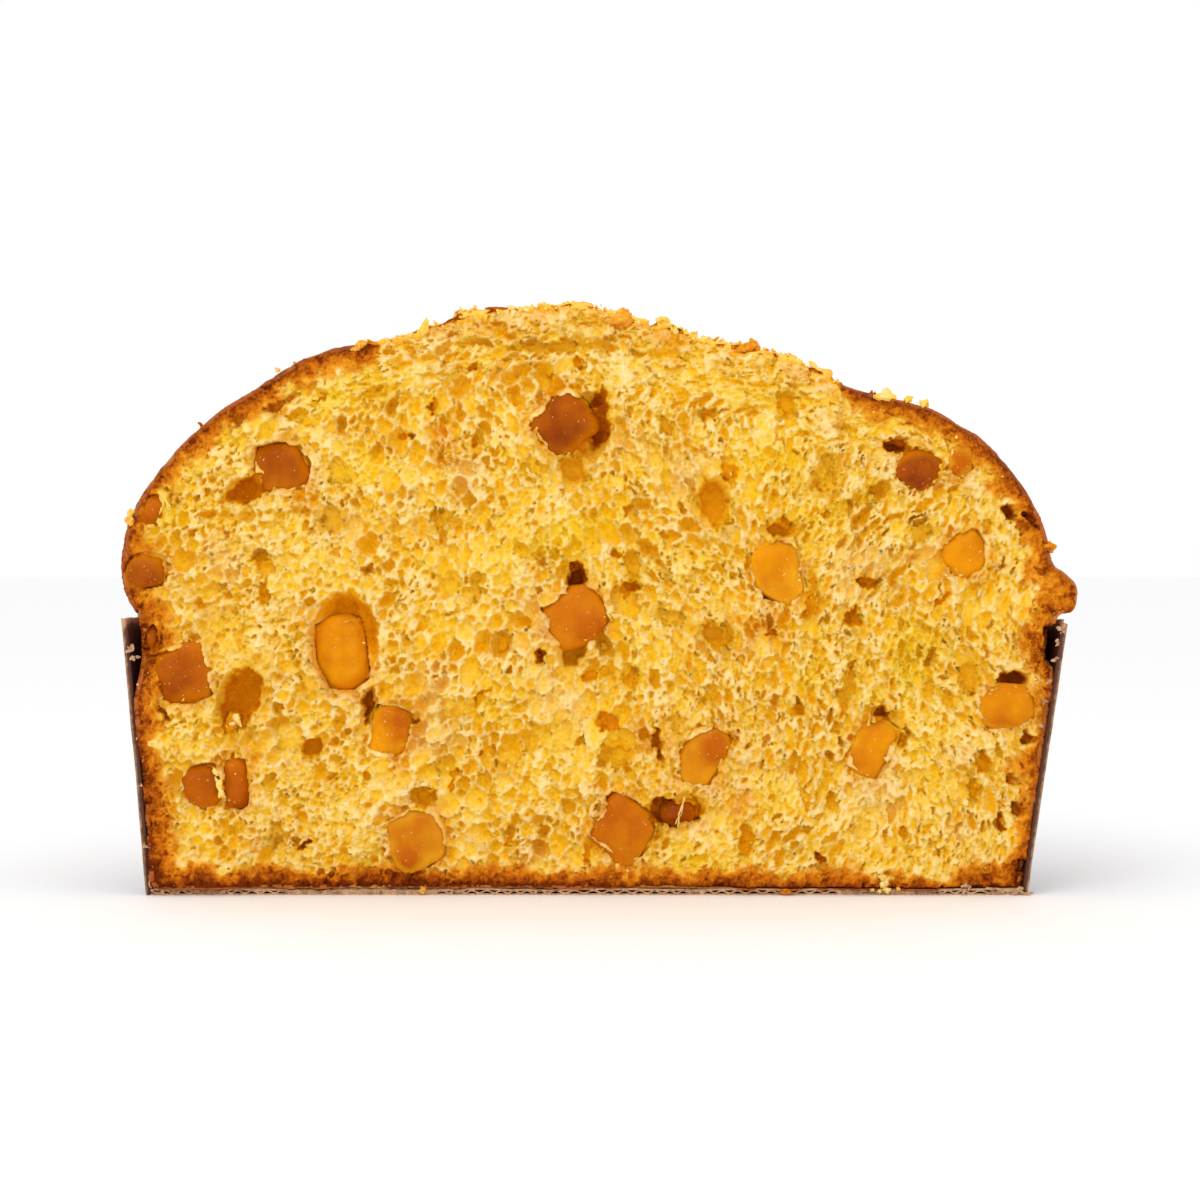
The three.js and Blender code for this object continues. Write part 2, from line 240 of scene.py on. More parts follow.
RAW_DEPTH = depth_map(tree_of(["loaf"]))
INSIDE = filled_face(RAW_DEPTH)
RAW_DEPTH = np.where(INSIDE, np.minimum(RAW_DEPTH, DEEPEST), 0)
EDGE = blurred(distance_to(~INSIDE, EDGE_REACH) - distance_to(INSIDE, SHORT_REACH), 1)
FRUIT_DEPTH = depth_map(tree_of(FRUIT_NODES))
FRUIT_SEEN = np.isfinite(FRUIT_DEPTH)
TO_FRUIT = distance_to(FRUIT_SEEN, REACH)
INTO_FRUIT = distance_to(~FRUIT_SEEN, SHORT_REACH)
# What lies deeper than a pit is a hollow, and what is narrower than a slit is filled.
PIT_DEPTH = 2.1 * MM
SLIT = 1.2 * MM
HOLLOW = without_slits(np.minimum(RAW_DEPTH, FRUIT_DEPTH), int(SLIT / STEP))
SUNK = INSIDE & ((HOLLOW > PIT_DEPTH) | (INTO_FRUIT > 0.8 * MM))
TO_HOLLOW = distance_to(SUNK, REACH)
HOLLOW = blurred(HOLLOW, 1)


def on_face(values, x, z):
    """Reads a map between its points."""
    u = np.clip((x - XS[0]) / STEP, 0, len(XS) - 1.001)
    v = np.clip((z - ZS[0]) / STEP, 0, len(ZS) - 1.001)
    i, k = u.astype(int), v.astype(int)
    s, t = u - i, v - k
    near = mix(values[i, k], values[i + 1, k], s)
    return mix(near, mix(values[i, k + 1], values[i + 1, k + 1], s), t)


# The loaf's outer form: crust that is smooth and wrinkled, and a torn top inside it

# How far the torn top reaches from the axis, and the height that it doesn't go below.
TORN_RADIUS = 51 * MM
TORN_FOOT = 100 * MM


def torn_share(x, y, z):
    """0 on the crust and 1 in the torn top."""
    dx, dy = x - AXIS_X, y - CUT_Y
    angle = np.arctan2(dy, dx)
    ragged = ripples(x, y, z, (2.2 * MM, 7, 21), (1.0 * MM, 2.6, 22))
    edge = TORN_RADIUS * (1 + 0.1 * np.cos(4 * angle + 0.6)) + 5 * MM * np.cos(angle) + ragged
    inside = smoothstep(edge - np.hypot(dx, dy), -0.6 * MM, 2.4 * MM)
    return inside * smoothstep(z, TORN_FOOT, TORN_FOOT + 3 * MM)


def crust_relief(x, y, z):
    """How far the skin stands out from the plain form: wrinkles, blisters and torn flakes."""
    bare = smoothstep(z, RIM_Z - 6 * MM, RIM_Z + 3 * MM)
    wrinkle = 0.34 * waves(x, y, z, 9 * MM, 23) + 0.26 * np.abs(waves(x, y, z, 4 * MM, 24))
    pimple = 0.16 * np.maximum(0, waves(x, y, z, 1.7 * MM, 25) - 0.15) - 0.35 * fold(x, y, z)
    torn = torn_share(x, y, z)
    flake = 1.8 * np.abs(waves(x, y, z * 2.2, 8 * MM, 26)) + 1.3 * waves(x, y, z * 1.8, 3.6 * MM, 27)
    flake = flake + 0.8 * waves(x, y, z * 1.4, 1.7 * MM, 28)
    return mix((wrinkle + pimple) * mix(0.25, 1, bare), flake - 0.45, torn) * MM


def fold(x, y, z):
    """Fine creases of the crust, from 0 to 1."""
    line = np.abs(ripples(x, y, z, (1, 12, 29), (0.35, 4, 30)))
    return smoothstep(0.05 - line, 0, 0.05) * smoothstep(waves(x, y, z, 15 * MM, 36), 0, 0.3)


def level_set(node, origin, step, shape, width):
    """Signed distance to a node's surface at the points of a box, below 0 inside, in metres."""
    points = ((corners_of(node) - np.array(origin)) / step).astype(np.float32)
    grid = openvdb.FloatGrid.createLevelSetFromPolygons(
        points, triangles=triangles_of(node).astype(np.uint32), halfWidth=width)
    values = np.empty(shape, np.float32)
    grid.copyToArray(values, ijk=(0, 0, 0))
    return values * np.float32(step)


def depth_in_loaf(origin, step, shape, width):
    """Depth under the crust at the points of a box, as if the cut face had no hollows."""
    distance = level_set("loaf", origin, step, shape, width)
    return -np.minimum.accumulate(distance[:, ::-1], axis=1)[:, ::-1]


def packed_against_case(x, z):
    """How far the crust swells out against the case."""
    most = mix(0.6, 2.6, smoothstep(x - AXIS_X, 0, 60 * MM)) * MM
    return most * smoothstep(57 * MM - z, 0, 10 * MM) * smoothstep(z, 0, 3 * MM)


def wall_radius(angle, height):
    """How far the case's wall is from the axis, by the angle round it and the height."""
    share = (1 - np.cos(angle)) / 2
    flare = mix(RIM_RIGHT, RIM_LEFT, share) - BASE_RADIUS
    return BASE_RADIUS + flare * height / RIM_Z


# How far inside that the wall's inner face is.
LINER_DEPTH = 1.25 * MM


def room_in_case(x, y, z):
    """Distance to the inside of the case's wall, above 0 within it, and large above the rim."""
    radius = wall_radius(np.arctan2(y - CUT_Y, x - AXIS_X), z) - LINER_DEPTH + 0.08 * MM
    free = 20 * MM * smoothstep(z, RIM_Z - 9 * MM, RIM_Z - 3 * MM)
    return radius - np.hypot(x - AXIS_X, y - CUT_Y) + free


def with_relief(depth, axes, reach):
    """Adds the skin's relief where it can matter."""
    near = np.nonzero(np.abs(depth) < reach)
    x, y, z = (axis[index] for axis, index in zip(axes, near))
    result = depth.copy()
    result[near] += (crust_relief(x, y, z) + packed_against_case(x, z)).astype(np.float32)
    return result


# Meshes

def skin_of(field, origin, step, adaptivity):
    """Points and faces of a field's zero surface; a triangle's row repeats its last vertex."""
    limit = 2.5 * step
    grid = openvdb.FloatGrid(limit)
    padded = np.pad(-np.clip(field, -limit, limit), 1, constant_values=limit)
    grid.copyFromArray(padded.astype(np.float32))
    points, triangles, quads = grid.convertToPolygons(isovalue=0.0, adaptivity=adaptivity)
    points = (np.asarray(points, float) - 1) * step + np.array(origin)
    triangles = np.asarray(triangles, np.int64).reshape(-1, 3)
    quads = np.asarray(quads, np.int64).reshape(-1, 4)
    return points, np.vstack([quads, np.column_stack([triangles, triangles[:, 2]])])


def mesh_object(name, points, faces, attributes=None, smooth=True):
    """An object from points and four-sided faces; a row with its last vertex twice is a triangle."""
    mesh = bpy.data.meshes.new(name)
    sizes = np.where(faces[:, 2] == faces[:, 3], 3, 4)
    corners = faces.ravel()[(np.arange(4)[None, :] < sizes[:, None]).ravel()]
    mesh.vertices.add(len(points))
    mesh.vertices.foreach_set("co", points.astype(np.float32).ravel())
    mesh.loops.add(len(corners))
    mesh.loops.foreach_set("vertex_index", corners.astype(np.int32))
    mesh.polygons.add(len(faces))
    mesh.polygons.foreach_set("loop_start", (np.cumsum(sizes) - sizes).astype(np.int32))
    mesh.polygons.foreach_set("use_smooth", np.zeros(len(faces), bool) | smooth)
    for key, values in (attributes or {}).items():
        layer = mesh.attributes.new(key, "FLOAT", "POINT")
        layer.data.foreach_set("value", values.astype(np.float32))
    mesh.update(calc_edges=True)
    mesh.validate()
    piece = bpy.data.objects.new(name, mesh)
    bpy.context.scene.collection.objects.link(piece)
    return piece


def ring_faces(rows, columns):
    """Faces between rings of vertices that lie one after the other."""
    r, c = np.meshgrid(np.arange(rows - 1) * columns, np.arange(columns), indexing="ij")
    following = (c + 1) % columns
    corners = [r + c, r + following, r + columns + following, r + columns + c]
    return np.stack(corners, axis=-1).reshape(-1, 4)


def joined(parts):
    """One pair of points and faces from several such pairs."""
    starts = np.cumsum([0] + [len(points) for points, _ in parts])
    faces = [own + start for (_, own), start in zip(parts, starts)]
    return np.vstack([points for points, _ in parts]), np.vstack(faces)


# The most four-sided faces of one piece.
MOST_FACES = 98000


def mesh_pieces(name, points, faces, attributes):
    """Splits a large skin from left to right into objects of a bounded size."""
    order = np.argsort(points[faces[:, 0], 0], kind="stable")
    parts = int(math.ceil(len(faces) / MOST_FACES))
    pieces = []
    for index, rows in enumerate(np.array_split(order, parts)):
        used, local = np.unique(faces[rows], return_inverse=True)
        own = {key: values[used] for key, values in attributes.items()}
        pieces.append(mesh_object(f"{name}_{index + 1:02d}", points[used], local.reshape(-1, 4), own))
    return pieces


# Crumb: the torn relief of the cut face. Its cells meet at thin ragged walls, and each has a
# level of its own.

# The usual cell, how far past its radius it may reach, half a wall, how far the crumb ends under
# the crust's surface, and the deepest cell.
CELL_RADIUS = 0.84 * MM
CELL_EDGE = 0.1 * MM
WALL = 0.27 * MM
UNDER_CRUST = 0.4 * MM
DEEPEST_CELL = 3.2 * MM
# Points start this far from every cell, and a new cell needs a share of its radius free.
FAR = 3 * MM
CROWDED = 0.56
# Cells from the largest to the smallest: share of the usual radius, and draws.
FOAM = [(2.3, 350), (1.8, 2000), (1.35, 12000), (1.0, 30000), (0.75, 60000), (0.55, 90000), (0.42, 90000)]
FINE_RADIUS = 0.56 * MM
FINE_FOAM = [(1.4, 6000), (1.0, 60000), (0.75, 120000)]


def cell_rules():
    """Maps of the cells' radius, how long they are drawn, and the direction of that, x and z."""
    x = (X_GRID - AXIS_X) / MM
    z = Z_GRID / MM
    edge = EDGE / MM
    upper = smoothstep(z, 84, 108)
    right = smoothstep(x, -5, 42)
    size = CELL_RADIUS * (1 + 0.5 * face_waves(17, 4) + 0.5 * face_waves(7, 3))
    size *= mix(0.5, 1, smoothstep(edge, 1, 8.5)) * mix(1, 0.86, right)
    lean = mix(0.15, 0.42, smoothstep(x, 20, 60)) + 0.5 * smoothstep(30 - z, 0, 24) * right
    lean = lean - 1.1 * smoothstep(x, 70, 104) * smoothstep(z, 60, 96)
    lean = lean + 1.7 * face_waves(34, 5)
    slope_x, slope_z = np.gradient(blurred(EDGE, 12), STEP)
    length = np.hypot(slope_x, slope_z) + 1e-6
    layer = smoothstep(20 - edge, 0, 10) * upper
    drawn_x = mix(np.sin(lean), -slope_z / length, layer)
    drawn_z = mix(np.cos(lean), slope_x / length, layer)
    norm = np.hypot(drawn_x, drawn_z) + 1e-6
    stretch = 1.25 + 0.95 * right + 0.9 * layer + 0.6 * face_waves(13, 6)
    return size, np.clip(stretch, 1.0, 3.2), drawn_x / norm, drawn_z / norm


def packed_cells(steps, rules, seed):
    """Packs cells over the face: maps of the nearest edge, the next and the cell, and all cells."""
    size, stretch, drawn_x, drawn_z = rules
    near = np.full(X_GRID.shape, FAR, np.float32)
    second = near.copy()
    owner = np.full(X_GRID.shape, -1, np.int32)
    draw = np.random.default_rng(seed)
    cells = []
    for share, tries in steps:
        i = draw.integers(0, len(XS), tries)
        k = draw.integers(0, len(ZS), tries)
        radius = share * size[i, k] * draw.uniform(0.85, 1.2, tries)
        turn = draw.normal(0, 0.3, tries)
        for n in np.nonzero(INSIDE[i, k] & (TO_HOLLOW[i, k] > 0.4 * radius))[0]:
            place = i[n], k[n]
            if near[place] < CROWDED * radius[n]:
                continue
            cos, sin = math.cos(turn[n]), math.sin(turn[n])
            ux, uz = drawn_x[place], drawn_z[place]
            axis = ux * cos - uz * sin, ux * sin + uz * cos
            radii = radius[n] * stretch[place] ** 0.6, radius[n] / stretch[place] ** 0.4
            stamp((near, second, owner), len(cells), place, radii, axis)
            cells.append((*place, radius[n]))
    return near, second, owner, np.array(cells)


def stamp(maps, number, place, radii, axis):
    """Adds one egg-shaped cell to the maps, and the ground round it that may be nearest to it."""
    near, second, owner = maps
    (long, short), (ux, uz) = radii, axis
    margin = 0.4 * short + 0.7 * MM
    reach_x = int((math.hypot(long * ux, short * uz) + margin) / STEP) + 1
    reach_z = int((math.hypot(long * uz, short * ux) + margin) / STEP) + 1
    rows = slice(max(0, place[0] - reach_x), place[0] + reach_x + 1)
    columns = slice(max(0, place[1] - reach_z), place[1] + reach_z + 1)
    dx = (XS[rows] - XS[place[0]])[:, None]
    dz = (ZS[columns] - ZS[place[1]])[None, :]
    along = (dx * ux + dz * uz) / long
    across = (dz * ux - dx * uz) / short
    k0 = np.sqrt(along ** 2 + across ** 2)
    k1 = np.sqrt((along / long) ** 2 + (across / short) ** 2) + 1e-6
    gap = k0 * (k0 - 1) / k1
    own_near, own_second = near[rows, columns], second[rows, columns]
    owner[rows, columns][gap < own_near] = number
    np.minimum(own_second, np.maximum(own_near, gap), out=own_second)
    np.minimum(own_near, gap, out=own_near)


def frayed(reach, seed):
    """Places moved to and fro a little, so that what is read there gets a ragged outline."""
    moved = []
    for axis, grid in enumerate((X_GRID, Z_GRID)):
        coarse = face_waves(1.7, seed + axis)
        fine = face_waves(0.75, seed + 2 + axis)
        moved.append(grid + reach * (coarse + 0.75 * fine))
    return moved


def foam(steps, rules, seed, places):
    """Distance to the edge of the own cell, its number, and all cells; 0 on the crumb between cells."""
    near, second, owner, cells = packed_cells(steps, rules, seed)
    near, second = on_face(near, *places), on_face(second, *places)
    between = np.minimum((second - near) / 2, CELL_EDGE - near)
    owner = owner[nearest(places[0], XS, STEP), nearest(places[1], ZS, STEP)]
    return np.maximum(between, 0), owner, cells


def bowl_profile(between, radius):
    """0 on a wall and 1 in the middle of a cell, steep at the wall."""
    share = np.clip(between / (0.85 * radius), 0, 1)
    return (1 - (1 - share) ** 2) ** 0.75


def drawn_out(values, drawn_x, drawn_z, reach):
    """A map smeared along the direction in which the crumb was drawn."""
    total = 0
    samples = np.linspace(-reach, reach, 11)
    for shift in samples:
        total = total + on_face(values, X_GRID + drawn_x * shift, Z_GRID + drawn_z * shift)
    return total / len(samples)


def fibre_map(drawn_x, drawn_z):
    """Fine fibres along the crumb's direction, with a spread of 1 round 0."""
    grain = np.random.default_rng(3).normal(0, 1, X_GRID.shape)
    fine = drawn_out(blurred(grain, 1), drawn_x, drawn_z, 1.6 * MM)
    coarse = drawn_out(blurred(grain, 3), drawn_x, drawn_z, 4 * MM)
    return 0.6 * fine / fine.std() + 0.6 * coarse / coarse.std()


def torn_level(x, z):
    """The level at which the crumb tore: broad swells and steps between layers, in metres."""
    swell = ripples(x, 0, z, (1.1, 15, 1), (0.6, 5.5, 2))
    tear = ripples(x, 0, z, (1, 12, 61), (0.55, 4.4, 62), (0.3, 1.7, 63))
    steps = sum(smoothstep(tear - level, 0, 0.1) for level in (-0.5, -0.1, 0.3))
    return (swell + 0.8 * steps - 1.0) * MM


# Single hollows of the cut, in millimetres and degrees: across from the axis, up, half the width and
# half the height, the width's slope, the depth (below 0 for a ridge), and how dark from 0 to 1; the
# dark colour is partly amber crumb and partly painted shade in the hollow.
HOLLOWS = [
    (-72, 117, 3.3, 0.7, 20, 3, 0.9), (-82, 113, 1.9, 0.6, 15, 2, 0.9),
    (-63, 118, 2.1, 0.5, 20, 1.5, 0.6), (-80, 96, 5.7, 2.6, 22, 2.5, 0.85),
    (-43, 109, 1.4, 1.4, 0, 2.5, 0.8), (-36, 116, 1.2, 1.9, 0, 2, 0.8),
    (-50, 119, 2.8, 1.2, 20, 1.5, 0.5), (-77, 79, 2.6, 2.1, 0, 2.5, 0.5),
    (-58, 100, 2.4, 2.4, 0, 2, 0.25), (-60, 89, 2.6, 2.6, 0, 2, 0.3), (-89, 73, 2.8, 2.4, 0, 1.5, 0.15),
    (-86, 63, 5.0, 5.2, 0, 2, 0.15), (-76, 72, 0.9, 3.3, 0, 2, 0.5), (-66, 112, 1.9, 0.9, 0, 1.5, 0.4),
    (-33, 90, 1.4, 1.4, 0, 1.5, 0.4), (-35, 88, 0.9, 2.8, 20, 2, 0.5), (-71, 38, 3.1, 3.5, 0, 2, 0.15),
    (-65, 35, 2.8, 2.1, 50, 3, 0.65), (-66, 50, 2.8, 1.2, -60, 1.5, 0.3),
    (-52, 44, 4.7, 1.2, 80, 4, 0.85), (-41, 41, 1.9, 0.7, 20, 2.5, 1), (-52, 28, 0.9, 0.9, 0, 1.5, 0.8),
    (-38, 23, 2.6, 1.7, 45, 3, 0.6), (-84, 15, 2.4, 0.9, 25, 2, 0.5), (-74, 14, 1.9, 2.4, 0, 2, 0.25),
    (-67, 12, 2.4, 0.7, 30, 3, 0.9), (-100, 43, 2.4, 0.7, -60, 3, 1), (-99, 48, 2.6, 0.9, -30, 3, 1),
    (-100, 22, 0.9, 1.7, 0, 2, 1), (-84, 33, 0.9, 1.4, 0, 2, 0.9), (-41, 7, 3.3, 0.7, 0, 2, 1),
    (-75, 27, 1.4, 1.9, 0, 1.5, 0.35), (-79, 36, 1.2, 2.1, 0, 1.5, 0.4), (-2, 76, 2.1, 3.5, 0, 5, 1),
    (-11, 57, 1.4, 1.9, 0, 3.5, 0.9), (-3, 58, 2.6, 3.8, 0, 4, 0.5), (-20, 60, 1.2, 2.1, 0, 2, 0.5),
    (-15, 65, 1.4, 1.2, 0, 2, 0.6), (-26, 73, 1.4, 3.1, 0, 2, 0.35), (-32, 74, 2.1, 2.4, 0, 1.5, 0.35),
    (-25, 47, 3.1, 0.9, 45, 2.5, 0.55), (-30, 44, 3.3, 1.9, 25, 1.5, 0.25),
    (-17, 44, 1.4, 0.9, 30, 1.5, 0.45), (10, 73, 2.4, 1.9, 20, 3, 0.75), (11, 78, 1.9, 4.7, 0, 2, 0.45),
    (7, 81, 1.2, 1.2, 0, 2, 0.7), (20, 66, 3.8, 1.9, -20, 2.5, 0.35), (31, 62, 4.7, 2.6, -20, 3, 0.5),
    (11, 51, 2.1, 2.4, 0, 2, 0.5), (4, 53, 1.4, 1.2, 0, 1.5, 0.6), (1, 52, 1.4, 1.2, 0, 2, 0.8),
    (4, 59, 1.4, 0.9, 0, 1.5, 0.4), (29, 47, 1.7, 1.2, 0, 1.5, 0.5), (5, 41, 3.3, 2.1, -30, 1.5, 0.9),
    (7, 34, 3.8, 3.1, 0, 3, 0.45), (10, 30, 1.9, 1.2, 0, 2, 0.7), (17, 36, 5.7, 0.9, -75, 3, 0.85),
    (22, 41, 2.4, 2.8, 0, 1.5, 0.2), (33, 37, 0.9, 1.7, 0, 2, 0.7), (18, 20, 4.0, 3.1, 25, 5, 1),
    (25, 21, 2.8, 3.1, 0, 1.5, 0.8), (-2, 36, 1.2, 1.2, 0, 1.5, 0.6), (-19, 32, 2.1, 1.7, 0, 1.5, 0.35),
    (-24, 34, 1.7, 1.2, 20, 1.5, 0.5), (-31, 28, 2.8, 0.7, 65, 2.5, 0.7), (-18, 14, 0.9, 3.3, 0, 2, 0.6),
    (0, 10, 0.9, 2.6, 0, 2, 0.8), (-13, 36, 1.2, 2.1, 0, 1.5, 0.4), (-7, 38, 2.8, 3.8, -20, 1.2, 0.25),
    (-33, 31, 2.4, 1.9, 0, 1.5, 0.4), (74, 106, 2.8, 1.7, -10, 5, 1), (69, 96, 2.6, 2.4, 0, 2.5, 0.45),
    (56, 98, 3.1, 2.8, 0, 2.5, 0.35), (65, 94, 1.9, 1.7, 0, 1.5, 0.4), (61, 92, 2.4, 1.2, -15, 1.5, 0.35),
    (57, 90, 1.4, 0.9, -40, 1.5, 0.6), (57, 103, 2.1, 1.9, 0, 2, 0.35), (47, 116, 2.4, 2.8, 0, 2, 0.6),
    (30, 93, 3.8, 5.2, 20, 3, 0.55), (34, 100, 2.4, 1.9, 0, 2, 0.7), (46, 87, 3.8, 2.1, 0, 3, 0.6),
    (66, 74, 2.4, 1.7, -35, 3, 0.75), (79, 86, 2.8, 2.1, 0, 2, 0.35), (63, 66, 2.4, 1.9, 0, 2.5, 0.65),
    (53, 70, 5.7, 1.2, 85, 1, 0.7), (100, 91, 1.9, 1.4, -50, 5, 1), (105, 89, 1.9, 0.9, -50, 5, 1),
    (103, 87, 1.7, 0.9, -50, 3, 0.9), (108, 77, 2.1, 0.9, -30, 3, 1), (110, 60, 1.7, 4.3, 0, 7, 1),
    (84, 70, 2.4, 0.7, 40, 1.5, 0.9), (44, 62, 1.9, 0.6, 0, 2, 0.9), (70, 43, 1.9, 2.1, 0, 4, 0.75),
    (74, 37, 1.9, 1.9, 0, 3, 0.55), (100, 51, 4.0, 1.9, 0, 4, 1), (105, 37, 1.7, 0.9, 0, 4, 1),
    (94, 31, 2.1, 2.4, 0, 3, 0.6), (92, 25, 1.4, 2.4, 0, 2.5, 0.55), (101, 27, 1.7, 0.7, -40, 2.5, 1),
    (102, 20, 1.4, 1.9, 0, 5, 1), (98, 17, 0.7, 2.1, 0, 3, 1), (103, 7, 0.9, 1.9, 0, 3, 1),
    (55, 9, 1.9, 0.9, -60, 3, 0.9), (38, 13, 1.9, 3.8, 0, 2, 0.6), (58, 22, 1.2, 2.1, 0, 2, 0.5),
    (65, 16, 1.6, 2.4, 0, 1.2, 0.2), (75, 15, 1.4, 1.4, 0, 2, 0.6), (91, 52, 2.6, 3.8, 0, 2.5, 0.4),
    (81, 49, 1.2, 2.1, 0, 1.5, 0.4), (86, 46, 1.4, 1.9, 0, 1.5, 0.4), (50, 44, 1.9, 1.4, 0, 2, 0.5),
    (62, 49, 9.0, 1.4, 77, 2, 0.45), (66, 48, 8.5, 1.4, 77, -1.6, 0), (-9, 130, 9.9, 1.3, 2, 3, 0.4),
    (-28, 131, 2.4, 0.7, 5, 1.5, 0.6), (-2, 126, 1.4, 1.2, 0, 2.5, 0.7), (-9, 123, 1.4, 0.6, 0, 2, 0.9),
    (-27, 125, 1.2, 0.7, 0, 2, 0.8), (-26, 108, 0.9, 1.7, 0, 2, 0.7), (-17, 117, 1.4, 0.9, 0, 2, 0.6),
    (3, 113, 2.8, 7.1, 0, 2, 1), (-3, 101, 2.8, 3.5, 20, 3, 0.45), (-13, 101, 2.8, 1.7, 0, 1.5, 0.4),
    (10, 91, 2.1, 0.9, 45, 2, 0.7), (29, 114, 2.1, 1.4, 0, 1.2, 0.6), (19, 111, 2.4, 1.2, -55, 1.5, 0.45),
    (19, 98, 0.9, 3.1, 0, 1.5, 0.4), (-82.1, 46.6, 4.4, 8.4, -24, 2.5, 0.72),
    (-84.4, 40.6, 1.1, 3.8, -10, -3.5, 0), (-77, 92, 13.2, 1.2, 3, -1.2, 0),
    (15, 110, 7.1, 0.6, -62, -0.9, 0), (19, 107, 8.0, 0.6, -60, -0.9, 0),
    (24, 105, 7.1, 0.6, -58, -0.9, 0), (12, 107, 7.1, 0.7, -68, -0.9, 0),
    (21, 36, 6.6, 1.2, -76, -1.1, 0), (-1, 25, 5.7, 0.6, 32, -1, 0), (4, 22, 2.6, 0.6, 0, -1, 0),
    (-21, 126, 14.2, 0.9, 2, -0.8, 0), (74, 60, 7.1, 0.7, 70, -0.8, 0), (80, 57, 6.1, 0.6, 68, -0.8, 0),
    (86, 60, 7.1, 0.7, 66, -0.8, 0), (-28, 70, 6.1, 0.7, 60, -0.7, 0), (-16, 79, 5.7, 0.7, -40, -0.7, 0),
    (55, 27, 7.1, 0.7, 80, -0.9, 0), (27, 48, 7.1, 0.7, -50, -0.9, 0), (-61, 27, 6.1, 0.7, 35, -0.8, 0),
    (-82, 10, 6.1, 0.7, 25, -0.8, 0),
]


def hollow_maps():
    """Maps of the single hollows: depth, how far a point is in one, and tone, which is partly amber colour
    and partly painted shade.
    """
    x, z = frayed(0.8 * MM, 110)
    uneven = 1 + 0.3 * face_waves(2.4, 118)
    depth, share, tone = (np.zeros(X_GRID.shape) for _ in range(3))
    for across, up, half_width, half_height, slope, deep, dark in HOLLOWS:
        reach = int((2 * max(half_width, half_height) + 1) * MM / STEP)
        i = int((AXIS_X + across * MM - XS[0]) / STEP)
        k = int(up * MM / STEP)
        spot = slice(max(0, i - reach), i + reach), slice(max(0, k - reach), k + reach)
        dx, dz = x[spot] - AXIS_X - across * MM, z[spot] - up * MM
        cos, sin = math.cos(math.radians(slope)), math.sin(math.radians(slope))
        along, over = dx * cos + dz * sin, dz * cos - dx * sin
        from_middle = np.hypot(along / (half_width * MM), over / (half_height * MM)) * uneven[spot]
        inside = smoothstep(1.15 - from_middle, 0, 0.42)
        bolder = np.abs(deep * inside) * MM > np.abs(depth[spot])
        depth[spot][bolder] = deep * MM * inside[bolder]
        share[spot] = np.maximum(share[spot], mix(0.55, 1, dark) * smoothstep(1.1 - from_middle, 0, 0.4))
        # The tone is a light ring round each hollow and darkest in its middle: partly amber crumb, partly
        # painted shade.
        halo = min(dark, 0.3) * smoothstep(1.7 - from_middle, 0, 0.6)
        middle = 0.92 * dark * smoothstep(1.15 - from_middle, 0, 0.3)
        tone[spot] = np.maximum(tone[spot], np.maximum(halo, middle))
    return depth, share, tone


def fruit_lips(front):
    """Lets ragged crumb lie over the fruit's edges and opens the rest of it."""
    lip = 0.5 + 1.6 * face_waves(5, 30) + 0.9 * face_waves(1.9, 31)
    lip = lip + 0.5 * face_waves(0.8, 32)
    open_side = distance_to(INSIDE & ~FRUIT_SEEN & (HOLLOW > 3.2 * MM), 4 * MM)
    lip = np.maximum(lip, 0.25) * smoothstep(open_side, 0.4 * MM, 2.6 * MM)
    into = blurred(INTO_FRUIT, 2)
    bared = smoothstep(into - lip * MM, -0.08 * MM, 0.14 * MM)
    face = np.where(FRUIT_SEEN, np.minimum(FRUIT_DEPTH, DEEPEST), 0)
    over_fruit = face - 0.8 * MM + 0.6 * (front - blurred(front, 3))
    covered = np.where(FRUIT_SEEN, np.minimum(front, over_fruit), front)
    return mix(covered, face + 1.5 * MM, np.where(FRUIT_SEEN, bared, 0))


def torn_cells(number, between, cells, level):
    """Each cell at a level of its own, and the bowl that it leaves, as maps."""
    draw = np.random.default_rng(8)
    owned = number >= 0
    column, row = cells[number, 0].astype(int), cells[number, 1].astype(int)
    offset = draw.normal(0, 0.22 * MM, len(cells))[number]
    own_level = np.where(owned, level[column, row] + offset, level)
    radius = np.where(owned, cells[number, 2], CELL_RADIUS)
    share = draw.uniform(0.5, 1.1, len(cells))
    share = (share * np.where(draw.random(len(cells)) < 0.07, 1.6, 1))[number]
    return own_level, np.minimum(radius * share, DEEPEST_CELL) * bowl_profile(between, radius)


def wall_map(between):
    """1 on the cells' walls, less where they are torn off, and 0 in the cells."""
    torn_off = smoothstep(face_waves(2.3, 9), -0.3, 0.12)
    thick = WALL * (1 + 1.1 * face_waves(1.2, 10))
    return smoothstep(thick - between, -0.09 * MM, 0.09 * MM) * mix(0.12, 1, torn_off)


def fine_crumb(rules):
    """The depth of the finest cells, as a map."""
    size, stretch, drawn_x, drawn_z = rules
    fine_rules = (np.full_like(size, FINE_RADIUS), stretch ** 0.7, drawn_x, drawn_z)
    between, number, cells = foam(FINE_FOAM, fine_rules, 6, frayed(0.25 * MM, 90))
    share = mix(0.4, 1, smoothstep(face_waves(6, 11), -0.35, 0.3))
    radius = cells[number, 2]
    return 0.95 * radius * bowl_profile(between, radius) * share


